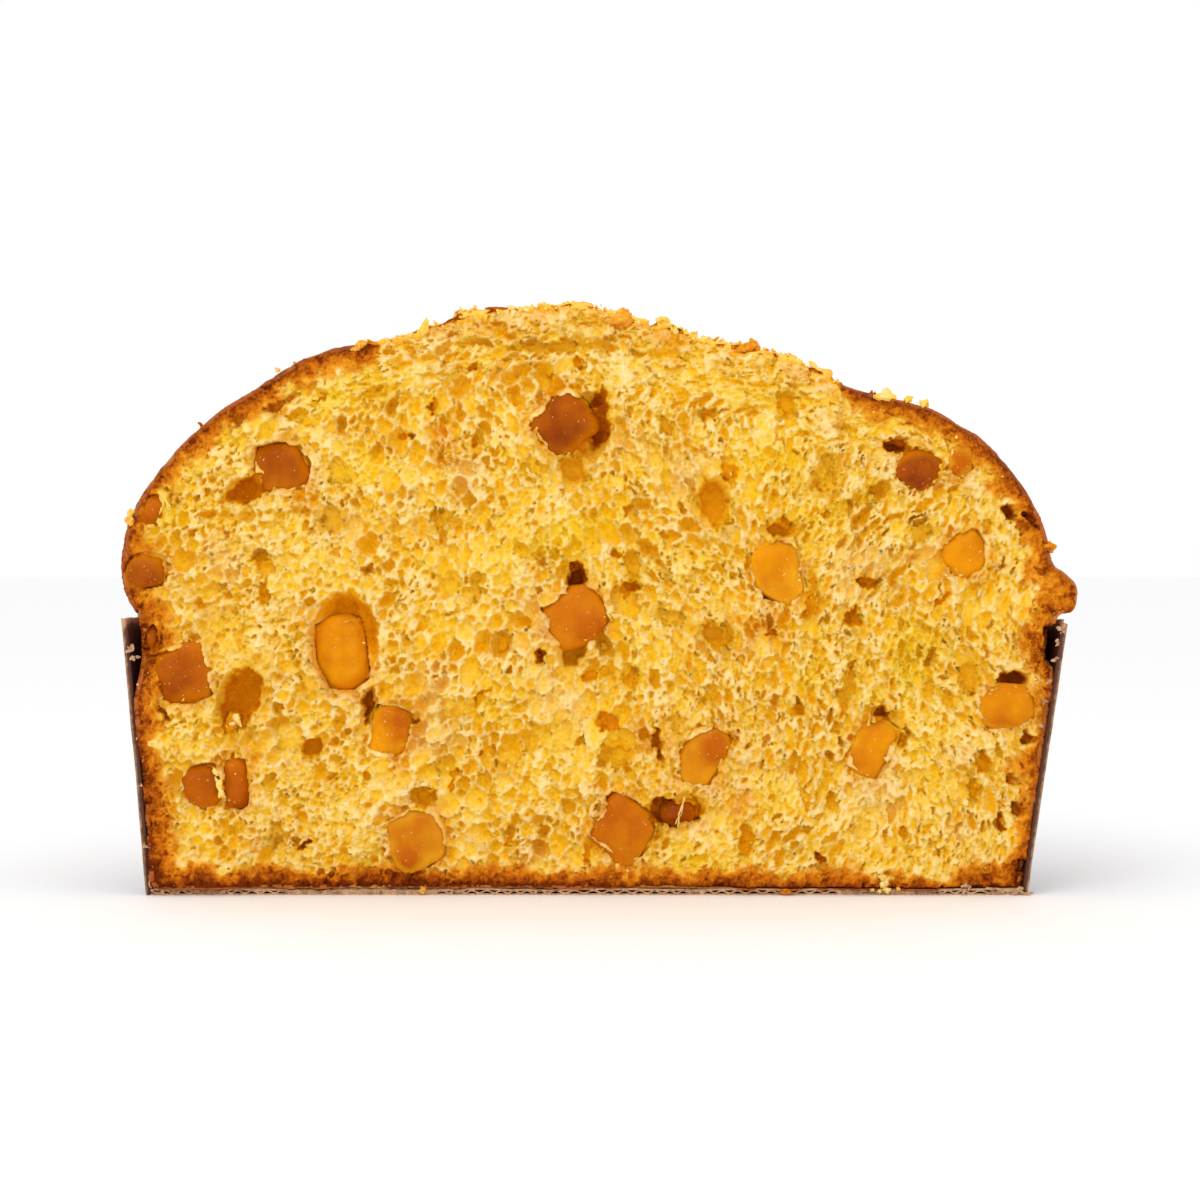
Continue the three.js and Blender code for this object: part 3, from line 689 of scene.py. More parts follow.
def crumb_relief():
    """Maps of the crumb's front: its depth, its level without cells, its walls, which only serve to paint
    highlight, and its outline.
    """
    rules = cell_rules()
    between, number, cells = foam(FOAM, rules, 5, frayed(0.5 * MM, 80))
    fine = fine_crumb(rules)
    walls = wall_map(between)
    places = frayed(0.75 * MM, 100)
    calm = smoothstep(on_face(TO_HOLLOW, *places), 0, 1.3 * MM) * (1 - 0.6 * SPOT_SHARE)
    level = on_face(HOLLOW, *places) + torn_level(X_GRID, Z_GRID) * mix(0.25, 1, calm) + SPOT_DEPTH
    own_level, bowl = torn_cells(number, between, cells, level)
    ragged = 0.1 + 0.8 * np.maximum(0, face_waves(1.25, 8))
    ragged = ragged + 0.4 * face_waves(0.6, 33)
    fibre = fibre_map(*rules[2:]) * mix(0.05, 0.13, smoothstep((X_GRID - AXIS_X) / MM, -10, 45)) * MM
    lively = mix(0.6, 1.15, smoothstep(face_waves(11, 14), -0.4, 0.15))
    torn = mix(own_level + bowl * lively, level - ragged * lively * MM, walls)
    torn = torn + fine * mix(1, 0.5, walls) + fibre
    smooth = 0.12 * MM * face_waves(2.6, 12) + 0.25 * fine
    depth = mix(level + smooth, torn, calm)
    edge = EDGE + crust_relief(X_GRID, CUT_Y, Z_GRID)
    rounding = mix(0.4, 0.9, smoothstep(Z_GRID, RIM_Z, RIM_Z + 10 * MM)) * MM
    depth = depth + rounding * (1 - np.sqrt(np.clip(edge / (2 * MM), 0, 1)))
    return fruit_lips(depth), fruit_lips(level), walls * calm, edge


SPOT_DEPTH, SPOT_SHARE, SPOT_AMBER_AND_SHADE = hollow_maps()
DEPTH, FRONT, WALL_HIGHLIGHT, OUTLINE = crumb_relief()
DEPTH_X, DEPTH_Z = np.gradient(DEPTH, STEP)
# Steepness of the relief, used only for colour: steep flanks get a warm gold as painted shade.
FLANK_SHADE = blurred(smoothstep(np.hypot(DEPTH_X, DEPTH_Z), 0.5, 2.2), 1)
# How deep each point lies in its pit, by the mean of the ground near it and further round it; it paints
# shade, deeper pits and steep flanks more golden, and walls paler as painted highlight.
PIT_SHADE = 0.46 + 0.5 * (DEPTH - blurred(DEPTH, 3)) / MM + 0.2 * (DEPTH - blurred(DEPTH, 12)) / MM
PIT_SHADE = PIT_SHADE - 0.26 * WALL_HIGHLIGHT + 0.2 * FLANK_SHADE


# Stains where fruit has soaked the crumb, as across, up and radius in millimetres from the axis.
STAINS = [(-34, 105, 4), (-35, 111, 3), (10, 72, 3.5), (30, 92, 5), (40, 64, 8), (17, 36, 7), (37, 21, 4),
          (62, 4, 4), (-44, 31, 3), (-61, 58, 4), (70, 32, 4), (20, 130, 5), (-68, 95, 3.5), (-80, 34, 3.5),
          (57, 112, 3), (52, 70, 4), (84, 78, 3.5), (20, 24, 4)]


def stain_share(x, z):
    """How far points of the face are stained, from 0 to 1."""
    total = 0
    for across, up, radius in STAINS:
        distance = np.hypot((x - AXIS_X) / MM - across, z / MM - up)
        total = np.maximum(total, smoothstep(radius * 1.6 - distance, 0, radius * 1.3))
    return total


def baked_share(x, z, edge):
    """How much of the crumb's colour is crust, by the place along the outline."""
    across = np.abs(x - AXIS_X) / MM
    up = z / MM
    depth = edge / MM
    side = smoothstep(across, 78, 96) * smoothstep(92 - up, 0, 22)
    width = mix(mix(4.0, 6.2, smoothstep(up, 66, 84)), 8.0, side)
    low = smoothstep(11 - up, 0, 6)
    width = mix(width, 6.4, low * (1 - side))
    width = mix(width, 0.8, torn_share(x, CUT_Y, z))
    rough = ripples(x, 0, z, (0.9, 5, 34), (0.7, 1.6, 35))
    most = mix(0.82, 1.15, smoothstep(14 - up, 0, 8))
    return np.clip(1 + 0.2 * low - depth / (width * (1 + 0.55 * rough)), -0.5, most)


def crumb_looks(x, z):
    """What the material needs to know of each point of the crumb."""
    fruit = on_face(TO_FRUIT, x, z)
    # Within 4 mm of the fruit the crumb is stained: partly syrup, partly painted shade next to the fruit.
    stain = np.maximum(stain_share(x, z), 0.75 * smoothstep(4 * MM - fruit, 0, 4 * MM))
    near_top = smoothstep(9 * MM - on_face(EDGE, x, z), 0, 7 * MM) * torn_share(x, CUT_Y, z)
    stain = np.maximum(stain, 0.6 * near_top)
    return {
        # pit: painted shade in the cells and painted highlight on the walls.
        "pit": np.clip(on_face(PIT_SHADE, x, z), 0, 1),
        "baked": baked_share(x, z, on_face(EDGE, x, z) + packed_against_case(x, z)),
        "stain": stain,
        # steep: warm painted shade on steep flanks.
        "steep": on_face(FLANK_SHADE, x, z),
        # hollow: painted shade, more orange in deeper hollows.
        "hollow": smoothstep(on_face(HOLLOW, x, z), 1.6 * MM, 7 * MM),
        # amber: the single hollows' tone, partly amber crumb and partly painted shade.
        "amber": on_face(SPOT_AMBER_AND_SHADE, x, z),
    }


# The crumb's front is a slab in upright strips; its sides draw in behind the crust's edge.
CRUMB_STRIPS = 6
SLAB_BACK = CUT_Y + 15.2 * MM
SIDE_INSET = 2.6 * MM


def border_of(faces, count):
    """The edges that only one face has, as pairs of vertices."""
    edges = np.vstack([faces[:, [a, (a + 1) % 4]] for a in range(4)])
    key = edges.min(axis=1) * count + edges.max(axis=1)
    _, first, counts = np.unique(key, return_index=True, return_counts=True)
    return edges[first[counts == 1]]


def shade_seams(piece, i, k):
    """Shades a strip like its neighbours where they meet."""
    at_seam = np.nonzero((i == i.min()) | (i == i.max()))[0]
    tilt = np.column_stack([DEPTH_X[i, k], np.full(len(i), -1.0), DEPTH_Z[i, k]])[at_seam]
    normals = np.zeros((len(piece.data.vertices), 3))
    normals[at_seam] = tilt / np.linalg.norm(tilt, axis=1)[:, None]
    piece.data.normals_split_custom_set_from_vertices(normals)


def crumb_strip(name, kept, rim):
    """One closed upright strip of the crumb: its relief, its sides and a plain back."""
    rows, columns = np.nonzero(kept[:-1, :-1] & kept[1:, :-1] & kept[:-1, 1:] & kept[1:, 1:])
    across = len(ZS)
    corner = rows * across + columns
    faces = np.stack([corner, corner + across, corner + across + 1, corner + 1], axis=1)
    used, faces = np.unique(faces, return_inverse=True)
    faces = faces.reshape(-1, 4)
    i, k = used // across, used % across
    x, z = XS[i], ZS[k]
    slope_x, slope_z = rim[1][i, k], rim[2][i, k]
    outside = np.minimum(rim[0][i, k], 0)
    x, z = x - outside * slope_x, np.maximum(z - outside * slope_z, LOAF_LOW.z)
    front = np.column_stack([x, CUT_Y + DEPTH[i, k], z])
    border = border_of(faces, len(used))
    ring, local = np.unique(border, return_inverse=True)
    local = local.reshape(-1, 2)
    steep = np.hypot(slope_x, slope_z)[ring] + 1e-9
    inset = SIDE_INSET * smoothstep(1.5 * MM - rim[0][i, k][ring], 0, 1 * MM) / steep
    inner = front[ring] + np.column_stack([slope_x[ring] * inset, 0 * inset, slope_z[ring] * inset])
    inner[:, 1] = CUT_Y + np.maximum(DEPTH[i, k][ring], 0) + SIDE_INSET
    back = inner.copy()
    back[:, 1] = SLAB_BACK
    rings = [front, inner, back, back.mean(axis=0)[None]]
    points = np.vstack(rings)
    start = np.cumsum([len(part) for part in rings])
    chain = [border, local + start[0], local + start[1], np.full_like(local, start[2])]
    sides = [np.column_stack([a[:, 1], a[:, 0], b]) for a, b in zip(chain[:-1], chain[1:])]
    looks = crumb_looks(points[:, 0], points[:, 2])
    smooth = np.arange(len(faces) + 3 * len(border)) < len(faces)
    piece = mesh_object(name, points, np.vstack([faces, *sides]), looks, smooth)
    shade_seams(piece, i, k)
    return piece


def crumb_pieces():
    """The crumb's strips, which end a little under the crust and at the edge of the torn top."""
    bare = mix(UNDER_CRUST, -0.1 * MM, torn_share(X_GRID, CUT_Y, Z_GRID))
    bare = bare - packed_against_case(X_GRID, Z_GRID)
    inside = blurred(np.minimum(OUTLINE - bare, room_in_case(X_GRID, CUT_Y, Z_GRID)), 1)
    slope_x, slope_z = np.gradient(inside, STEP)
    steep = np.hypot(slope_x, slope_z) ** 2 + 0.3
    rim = (inside, slope_x / steep, slope_z / steep)
    kept = inside > -STEP
    bounds = np.linspace(0, len(XS) - 1, CRUMB_STRIPS + 1).astype(int)
    pieces = []
    for number, (low, high) in enumerate(zip(bounds[:-1], bounds[1:]), 1):
        own = np.zeros_like(kept)
        own[low:high + 1] = kept[low:high + 1]
        pieces.append(crumb_strip(f"crumb_{number:02d}", own, rim))
    return pieces


# Crust: the loaf's body behind the crumb, with a thin shell that reaches forward round it

# The grid's step, the shell's thickness and how far back it is a shell.
SKIN_STEP = 0.5 * MM
SHELL = 1.3 * MM
SHELL_END = CUT_Y + 13.6 * MM


def crust_pieces():
    """The body and shell in pieces, and a map of how high the loaf's top is."""
    low = np.array([LOAF_LOW.x - 3 * MM, CUT_Y - 3 * MM, 0])
    high = np.array([LOAF_HIGH.x + 3 * MM, LOAF_HIGH.y + 3 * MM, LOAF_HIGH.z + 4 * MM])
    axes = [np.arange(a, b, SKIN_STEP) for a, b in zip(low, high)]
    shape = tuple(len(axis) for axis in axes)
    depth = depth_in_loaf(low, SKIN_STEP, shape, 7)
    depth = box_mean(depth, 2, (0, 1, 2))
    body = with_relief(depth, axes, 3.4 * MM)
    x, z = np.meshgrid(axes[0], axes[2], indexing="ij")
    front = CUT_Y + on_face(FRONT, x, z) + 0.3 * MM
    for j, y in enumerate(axes[1]):
        body[:, j] = np.minimum(body[:, j], room_in_case(x, y, z))
        shell = np.maximum(SHELL - body[:, j], y - SHELL_END)
        layer = np.minimum(body[:, j], np.where(y < CUT_Y + 20 * MM, y - front, np.inf))
        body[:, j] = np.minimum(layer, shell)
    top = body.shape[2] - 1 - np.argmax(body[:, :, ::-1] > 0, axis=2)
    skin_map = axes[0], axes[1], np.where((body > 0).any(axis=2), axes[2][top], 0)
    points, faces = skin_of(body, low, SKIN_STEP, 0.015)
    place = points.T
    looks = {
        "torn": torn_share(*place),
        "crest": crust_relief(*place) / MM,
        "fold": fold(*place),
        "high": smoothstep(place[2], RIM_Z - 4 * MM, RIM_Z + 34 * MM),
        "cut": smoothstep(CUT_Y + 2.2 * MM - place[1], 0, 2 * MM),
    }
    return mesh_pieces("crust", points, faces, looks), skin_map


# Loose bits: torn flakes, crumbs and shreds

def ball(divisions):
    """Corners and triangles of a round ball with a radius of 1."""
    form = bmesh.new()
    bmesh.ops.create_icosphere(form, subdivisions=divisions, radius=1)
    corners = np.array([v.co[:] for v in form.verts])
    faces = np.array([[v.index for v in (*f.verts, f.verts[2])] for f in form.faces])
    form.free()
    return corners, faces


def plain_looks(pit, baked):
    """What the crumb's material needs to know of points with no stain or hollow."""
    # pit carries the crumb's painted shade and highlight.
    return {"pit": pit, "baked": baked, **dict.fromkeys(("stain", "steep", "hollow", "amber"), 0 * pit)}


def bits(name, centres, halves, turns, baked, seed, divisions=2):
    """One mesh of ragged bits: middles, half sizes, turns as matrices, and how brown each is."""
    corners, faces = ball(divisions)
    count = len(centres)
    own = 5 * np.arange(count)[:, None]
    rough = 0.75 * waves(corners[:, 0] + own, corners[:, 1], corners[:, 2], 0.9, seed)
    rough = rough + 0.5 * waves(corners[:, 0] + own, corners[:, 1], corners[:, 2], 0.42, seed + 1)
    local = corners[None] * (1 + rough)[:, :, None] * halves[:, None, :]
    points = (np.einsum("nij,nkj->nki", turns, local) + centres[:, None, :]).reshape(-1, 3)
    points[:, 2] = np.maximum(points[:, 2], 0)
    rows = (faces[None] + (len(corners) * np.arange(count))[:, None, None]).reshape(-1, 4)
    # The bits' pit value paints shade in their dents and highlight on their bumps.
    looks = plain_looks(np.tile(0.25 - 0.5 * rough[0], count), np.repeat(baked, len(corners)))
    return mesh_object(name, points, rows, looks, smooth=False)


def random_turns(draw, count):
    """Turns in any direction, as matrices."""
    q = draw.normal(size=(count, 4))
    w, x, y, z = (q / np.linalg.norm(q, axis=1)[:, None]).T
    rows = [1 - 2 * (y * y + z * z), 2 * (x * y - w * z), 2 * (x * z + w * y),
            2 * (x * y + w * z), 1 - 2 * (x * x + z * z), 2 * (y * z - w * x),
            2 * (x * z - w * y), 2 * (y * z + w * x), 1 - 2 * (x * x + y * y)]
    return np.stack(rows, axis=1).reshape(-1, 3, 3)


def upright_turns(slopes):
    """Turns in the plane of the cut, from slopes in degrees."""
    cos, sin = np.cos(np.radians(slopes)), np.sin(np.radians(slopes))
    zero, one = 0 * cos, 0 * cos + 1
    return np.stack([cos, zero, -sin, zero, one, zero, sin, zero, cos], axis=1).reshape(-1, 3, 3)


def top_of(skin_map, x, y):
    """Height of the loaf's top over points of the floor."""
    xs, ys, heights = skin_map
    return heights[nearest(x, xs, SKIN_STEP), nearest(y, ys, SKIN_STEP)]


# How many flakes lie on the torn top, crumbs on the crust and crumbs on the cut.
TORN_FLAKES = 1300
DUST = 160
FACE_CRUMBS = 420


def torn_flakes(skin_map):
    """Small ragged flakes over the torn top, more of them near the cut."""
    draw = np.random.default_rng(17)
    x = AXIS_X + draw.uniform(-62, 68, 6 * TORN_FLAKES) * MM
    y = CUT_Y + np.where(draw.random(len(x)) < 0.3, np.abs(draw.normal(0, 5, len(x))),
                         draw.uniform(0, 66, len(x))) * MM
    z = top_of(skin_map, x, np.maximum(y, CUT_Y + 1 * MM))
    kept = np.nonzero((torn_share(x, y, z) > 0.6) & (z > TORN_FOOT))[0][:TORN_FLAKES]
    size = np.exp(draw.normal(-1.0, 0.5, len(kept)))[:, None] * np.array([1.2, 0.8, 0.4]) * MM
    centres = np.column_stack([x, y, z])[kept]
    centres[:, 1] = np.maximum(centres[:, 1], CUT_Y + 0.6 * MM)
    kinds = draw.choice([-0.5, 0.05, 0.25, 0.7], len(kept), p=[0.8, 0.14, 0.05, 0.01])
    return bits("torn_flakes", centres, size, random_turns(draw, len(kept)), kinds, 60)


# Large flakes and crumbs at the outline, in millimetres and degrees: across from the axis, behind
# the cut, up, half the length and half the height, the slope, and how brown from -0.5 to 1.
LARGE_FLAKES = [
    (-50, 3, 130.4, 2.5, 0.5, -20, 0.4), (-44, 4, 131.6, 2.4, 0.7, 25, 0.5),
    (-26.5, 5, 136.3, 2, 0.7, 5, 0.6), (-20.5, 4, 138.5, 2.4, 0.8, 0, 0.65),
    (-7.3, 3, 139, 1.7, 0.7, 0, 0.6), (0.6, 3, 138.7, 1.8, 0.8, 0, 0.55),
    (8.3, 1.5, 136.5, 2.4, 1.7, 40, 0.25), (18.2, 2, 135.8, 1.2, 1.6, 60, -0.3),
    (28.8, 2, 130.3, 2.2, 0.7, 35, 0.45), (37.0, 2.6, 129.2, 3.3, 1.3, 24, 0.3),
    (39.4, 2.4, 129.6, 1.4, 1.7, 8, 0.3), (56.8, 2, 121.6, 1.2, 1, 0, 0.1),
    (70.5, 1.5, 118.3, 1.9, 1.3, -12, -0.3), (76, 1.5, 117.5, 0.8, 0.8, 0, -0.4),
    (79.8, 1, 116.4, 0.9, 1, 0, -0.2), (-108, 1.5, 90.6, 0.7, 1, -15, 0.05),
    (-108.4, 1.5, 88.6, 0.9, 1, 10, 0.15), (109.6, 1.5, 82.6, 1.1, 1.2, -25, 0.35),
    (-30, 2, 137, 0.6, 0.7, 0, -0.4), (-73, 1, 124.5, 0.6, 0.6, 0, -0.4),
    (-91, 1, 111.3, 0.8, 0.4, -40, 0.7), (70, 0.3, 4.4, 0.7, 0.8, 20, -0.5),
    (70.9, 0.2, 3.4, 0.6, 0.9, 0, -0.4), (70.3, 0, 2.4, 0.9, 0.8, 50, -0.5),
    (71.2, 0, 1.2, 0.8, 0.6, -10, -0.45), (69.6, 0, 1, 0.5, 0.5, 0, -0.3),
    (67.8, 0.2, 1.2, 0.4, 0.4, 0, -0.4), (73.9, 0.2, 1.6, 0.5, 0.4, 0, 0.1),
    (-82.6, 0.8, 41.8, 0.8, 1.3, 20, -0.5), (-83.7, 1.4, 39.9, 0.7, 1, 0, -0.4),
    (-88, 0.9, 29.2, 0.7, 1.2, 20, -0.5), (-87.2, 0.9, 26.6, 0.7, 1.3, 15, -0.45),
    (-86.5, 0.9, 24.2, 0.7, 1.1, 20, -0.4), (-39, -0.2, 1.3, 0.6, 0.6, 0, 0.2),
    (-98, 0.3, 2.6, 0.9, 0.6, 0, -0.2), (47, 0, 0.9, 1.2, 0.5, 0, 0.5), (-54, 2, 130, 1.8, 0.9, 30, 0.2),
]


def large_flakes():
    """The flakes of the list, ragged and upright in the plane of the cut."""
    draw = np.random.default_rng(19)
    across, behind, up, long, high, slope, baked = np.array(LARGE_FLAKES).T
    centres = np.column_stack([AXIS_X + across * MM, CUT_Y + behind * MM, up * MM])
    halves = np.column_stack([long, draw.uniform(0.7, 1.2, len(long)) * (0.5 + 0.5 * long), high]) * MM
    return bits("large_flakes", centres, halves, upright_turns(slope), baked, 62, divisions=3)


def loose_crumbs(skin_map):
    """Crumbs lying on the crust and clinging to the cut."""
    draw = np.random.default_rng(23)
    angle = draw.uniform(0.02, math.pi - 0.02, DUST)
    away = draw.uniform(0.3, 0.98, DUST) ** 0.6 * 104 * MM
    x, y = AXIS_X + away * np.cos(angle), CUT_Y + away * np.sin(angle)
    on_top = np.column_stack([x, y, top_of(skin_map, x, y) + 0.2 * MM])
    i, k = draw.integers(0, len(XS), 4 * FACE_CRUMBS), draw.integers(0, len(ZS), 4 * FACE_CRUMBS)
    kept = np.nonzero(EDGE[i, k] > 2 * MM)[0][:FACE_CRUMBS]
    i, k = i[kept], k[kept]
    face = np.minimum(DEPTH[i, k], np.where(FRUIT_SEEN[i, k], FRUIT_DEPTH[i, k] - 0.5 * MM, np.inf))
    centres = np.vstack([on_top, np.column_stack([XS[i], CUT_Y + face - 0.05 * MM, ZS[k]])])
    size = np.exp(np.concatenate([draw.normal(-0.75, 0.35, DUST), draw.normal(-1.45, 0.4, len(kept))]))
    halves = size[:, None] * np.array([1, 0.8, 0.6]) * MM
    baked = np.concatenate([draw.choice([-0.5, 0.2, 0.6], DUST), np.full(len(kept), -0.5)])
    return bits("loose_crumbs", centres, halves, random_turns(draw, len(centres)), baked, 64)


# Shreds of crumb across hollows and fruit, as points in millimetres: across, in front, up, thickness.
SHREDS = [
    [(23, 0.3, 23, 0.4), (22.2, 0, 19.4, 0.3), (21.4, -0.5, 16.3, 0.4)],
    [(-101, 0.6, 95.2, 0.7), (-99.2, 0.8, 93, 0.9), (-98.2, 0.4, 91.2, 0.4)],
    [(85.2, 0.6, 75.6, 0.4), (87, 0.9, 75, 0.3), (87.6, 0.5, 73.6, 0.4)],
    [(-14.2, 0.5, 101, 0.4), (-13, 0.8, 99.4, 0.4), (-10.8, 0.3, 98.6, 0.5)],
]
# Threads of a shred, sides of a thread, and its rings between two points.
THREADS = 3
SHRED_SIDES = 6
SHRED_STEPS = 9


def shred(number):
    """One ragged thread with closed ends, as points and faces."""
    path = np.array(SHREDS[number // THREADS]) * MM
    at = np.linspace(0, len(path) - 1, SHRED_STEPS * (len(path) - 1) + 1)
    x, ahead, z, width = (np.interp(at, np.arange(len(path)), path[:, c]) for c in range(4))
    own = at, 7 * number, 0
    x = AXIS_X + x + 0.55 * MM * waves(*own, 1.1, 66) + 0.3 * MM * waves(*own, 0.4, 65)
    z = z + 0.55 * MM * waves(*own, 1.1, 67) + 0.3 * MM * waves(*own, 0.4, 64)
    turn = np.linspace(0, 2 * math.pi, SHRED_SIDES, endpoint=False)[None]
    rough = np.maximum(0.3, 1 + 1.6 * waves(at[:, None] * 4, turn * 2, number, 1, 68))
    reach = 0.3 * width[:, None] * rough * np.where((at == 0) | (at == at[-1]), 0.4, 1)[:, None]
    slope = np.arctan2(np.gradient(z), np.gradient(x))[:, None]
    side = reach * np.cos(turn)
    rings = np.stack([x[:, None] - side * np.sin(slope), CUT_Y - ahead[:, None] + reach * np.sin(turn),
                      z[:, None] + side * np.cos(slope)], axis=-1)
    faces = [ring_faces(len(at), SHRED_SIDES)]
    ring = np.arange(SHRED_SIDES)
    for first, middle, order in ((0, 0, 1), ((len(at) - 1) * SHRED_SIDES, 1, -1)):
        cap = np.column_stack([ring, (ring + 1) % SHRED_SIDES])[:, ::order] + first
        tip = np.full((SHRED_SIDES, 1), len(at) * SHRED_SIDES + middle)
        faces.append(np.hstack([cap[:, ::-1], tip, tip]))
    return np.vstack([rings.reshape(-1, 3), rings[0].mean(0), rings[-1].mean(0)]), np.vstack(faces)


def shreds():
    """All threads in one mesh."""
    points, faces = joined([shred(number) for number in range(THREADS * len(SHREDS))])
    pale = np.full(len(points), 0.1), np.full(len(points), -0.5)
    return mesh_object("shreds", points, faces, plain_looks(*pale))


# Candied fruit

FRUIT_STEP = 0.5 * MM
FRUIT_MARGIN = 2.5 * MM
# How far the softened form of a piece swells, in millimetres, as a rule and for single ones.
USUAL_SWELL = 0.65
FRUIT_SWELL = {5: 0.5, 20: 1.2}
# How much lighter or darker a piece is than the others of its kind, as a shift along their tones.
FRUIT_TONES = {2: -0.12, 3: 0.12, 6: 0.08, 9: 0.12, 11: -0.32, 12: 0.17, 13: 0.26, 14: -0.1, 15: 0.06,
               16: -0.08, 18: -0.06, 19: -0.1, 20: -0.3}


def fruit_piece(node, number):
    """A waxy, slightly uneven piece with softened edges, in the place of its node."""
    box_low, box_high = (np.array(v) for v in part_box(node))
    low = box_low - FRUIT_MARGIN
    shape = tuple(int(n) for n in np.ceil((box_high - box_low + 2 * FRUIT_MARGIN) / FRUIT_STEP))
    axes = [low[a] + np.arange(shape[a]) * FRUIT_STEP for a in (0, 1, 2)]
    depth = -level_set(node, low, FRUIT_STEP, shape, 5)
    soft = box_mean(depth, 4, (0, 1, 2, 0, 1, 2))
    x, y, z = np.meshgrid(*axes, indexing="ij")
    lumps = ripples(x, y, z, (0.8, 6, 40 + number), (0.2, 1.9, 70 + number))
    swollen = soft + (lumps + FRUIT_SWELL.get(number, USUAL_SWELL)) * MM
    points, faces = skin_of(swollen, low, FRUIT_STEP, 0.01)
    front = points[:, 1].min()
    # rim: the piece's sides, painted paler as light glowing through its thin edges.
    looks = {"rim": smoothstep(points[:, 1] - front, 0.5 * MM, 2.6 * MM),
             "tone": np.full(len(points), FRUIT_TONES.get(number, 0))}
    return mesh_object(node.replace("candied_", "") + "_flesh", points, faces, looks)


# Paper case: a fluted wall and a corrugated base

# The wall: its flutes over half a round, their depth and points, rows up, and gap over the floor.
WALL_FLUTES = 60
FLUTE_DEPTH = 0.8 * MM
FLUTE_STEPS = 10
WALL_ROWS = 22
WALL_FOOT = 0.15 * MM
# The base: its top, a liner's thickness, and a wave's length and points.
BASE_TOP = 1.6 * MM
LINER = 0.38 * MM
BASE_PITCH = 3.6 * MM
BASE_STEPS = 10
# Where the base has points, from its cut edge to its round one.
BASE_SHARES = (0, 0.012, 0.3, 0.65, 1)


def wall_section(angle, rise):
    """The wall's cross-section at one angle: up its fluted outside and down its liner."""
    cos, sin = math.cos(angle), math.sin(angle)
    foot = AXIS_X + BASE_RADIUS * cos, BASE_RADIUS * sin
    worn = ripples(*foot, 0, (0.9, 6, 50), (0.5, 2, 51))
    top = RIM_Z - (0.9 - worn - 1.2 * (0.5 - cos / 2)) * MM
    height = WALL_FOOT + rise * (top - WALL_FOOT)
    wave = math.cos(2 * WALL_FLUTES * angle)
    wave = math.copysign(abs(wave) ** 0.7, wave)
    flute = 0.5 * FLUTE_DEPTH * (1 - wave * mix(0.6, 1, smoothstep(height, 0, 4 * MM)))
    sway = ripples(*foot, height, (0.22, 17, 52), (0.1, 4, 53))
    plain = wall_radius(angle, height)
    radius = np.concatenate([plain - flute + sway * MM, (plain - LINER_DEPTH + 0.5 * sway * MM)[::-1]])
    up = np.concatenate([height, height[::-1]])
    return np.column_stack([AXIS_X + radius * cos, CUT_Y + 0.05 * MM + radius * sin, up])


def case_wall():
    """The wall from one cut end over the back to the other, as a closed loop of cross-sections."""
    columns = WALL_FLUTES * FLUTE_STEPS + 1
    angles = np.linspace(0, math.pi, columns)
    rise = np.linspace(0, 1, WALL_ROWS)
    points = np.vstack([wall_section(angle, rise) for angle in angles])
    ring = 2 * WALL_ROWS
    cap = np.array([[i, i + 1, ring - 2 - i, ring - 1 - i] for i in range(WALL_ROWS - 1)])
    faces = np.vstack([ring_faces(columns, ring), cap[:, ::-1], cap + (columns - 1) * ring])
    inner = np.tile(np.repeat([0.0, 1.0], WALL_ROWS), columns)
    upper = smoothstep(np.tile(np.concatenate([rise, rise[::-1]]), columns), 0.97, 1.0)
    cut_end = smoothstep(CUT_Y + 0.9 * MM - points[:, 1], 0, 0.9 * MM) * np.where(inner > 0, 0.2, 0.85)
    flute = np.cos(2 * WALL_FLUTES * np.repeat(angles, ring)) * 0.5 + 0.5
    looks = {"worn": np.maximum(upper, cut_end), "flute": flute, "inner": inner}
    return mesh_object("case_wall", points, faces, looks)


def sheet_of(x, low_z, high_z, back, droop):
    """A sheet that follows a line across the cut and runs back to the case's round edge."""
    front = CUT_Y + 0.1 * MM + 0.5 * MM * (waves(x, 0, 0, 5 * MM, 55) + 0.5)
    loops = []
    for share in BASE_SHARES:
        y = mix(front, back, share)
        drop = droop * (share == 0)
        loops += [np.column_stack([x, y, low_z - drop]), np.column_stack([x, y, high_z - drop])[::-1]]
    ring = 2 * len(x)
    caps = np.array([[i, ring - 1 - i, ring - 2 - i, i + 1] for i in range(len(x) - 1)])
    last = (len(BASE_SHARES) - 1) * ring
    faces = np.vstack([ring_faces(len(BASE_SHARES), ring), caps, caps[:, ::-1] + last])
    return np.concatenate(loops), faces


def case_base():
    """Corrugated board: two liners with a wave between them."""
    reach = BASE_RADIUS - 0.9 * MM
    x = np.linspace(-reach, reach, int(2 * reach / BASE_PITCH * BASE_STEPS))
    back = CUT_Y + 0.8 * MM + np.sqrt(np.maximum(reach ** 2 - x ** 2, 0))
    x = x + AXIS_X
    uneven = ripples(x, 0, 0, (0.16 * MM, 9, 56), (0.1 * MM, 2.5, 58))
    wave = np.sin(2 * math.pi * x / BASE_PITCH + 2.5 * waves(x, 0, 0, 14 * MM, 57))
    middle = BASE_TOP / 2 + wave * (BASE_TOP / 2 - LINER - 0.1 * MM)
    droop = smoothstep(ripples(x, 0, 0, (1, 13, 59), (0.5, 3, 60)), -0.45, 0.35)
    layers = [(0 * x, 0 * x + LINER, 0), (middle - LINER / 2, middle + LINER / 2, 0),
              (BASE_TOP - LINER + uneven - 0.1 * MM, BASE_TOP + uneven - 0.1 * MM, 0.85 * droop * MM)]
    points, faces = joined([sheet_of(x, low_z, high_z, back, drop) for low_z, high_z, drop in layers])
    looks = {"worn": smoothstep(CUT_Y + 3 * MM - points[:, 1], 0, 3 * MM),
             "flute": np.full(len(points), 0.5), "inner": np.zeros(len(points))}
    return mesh_object("case_base", points, faces, looks, smooth=False)


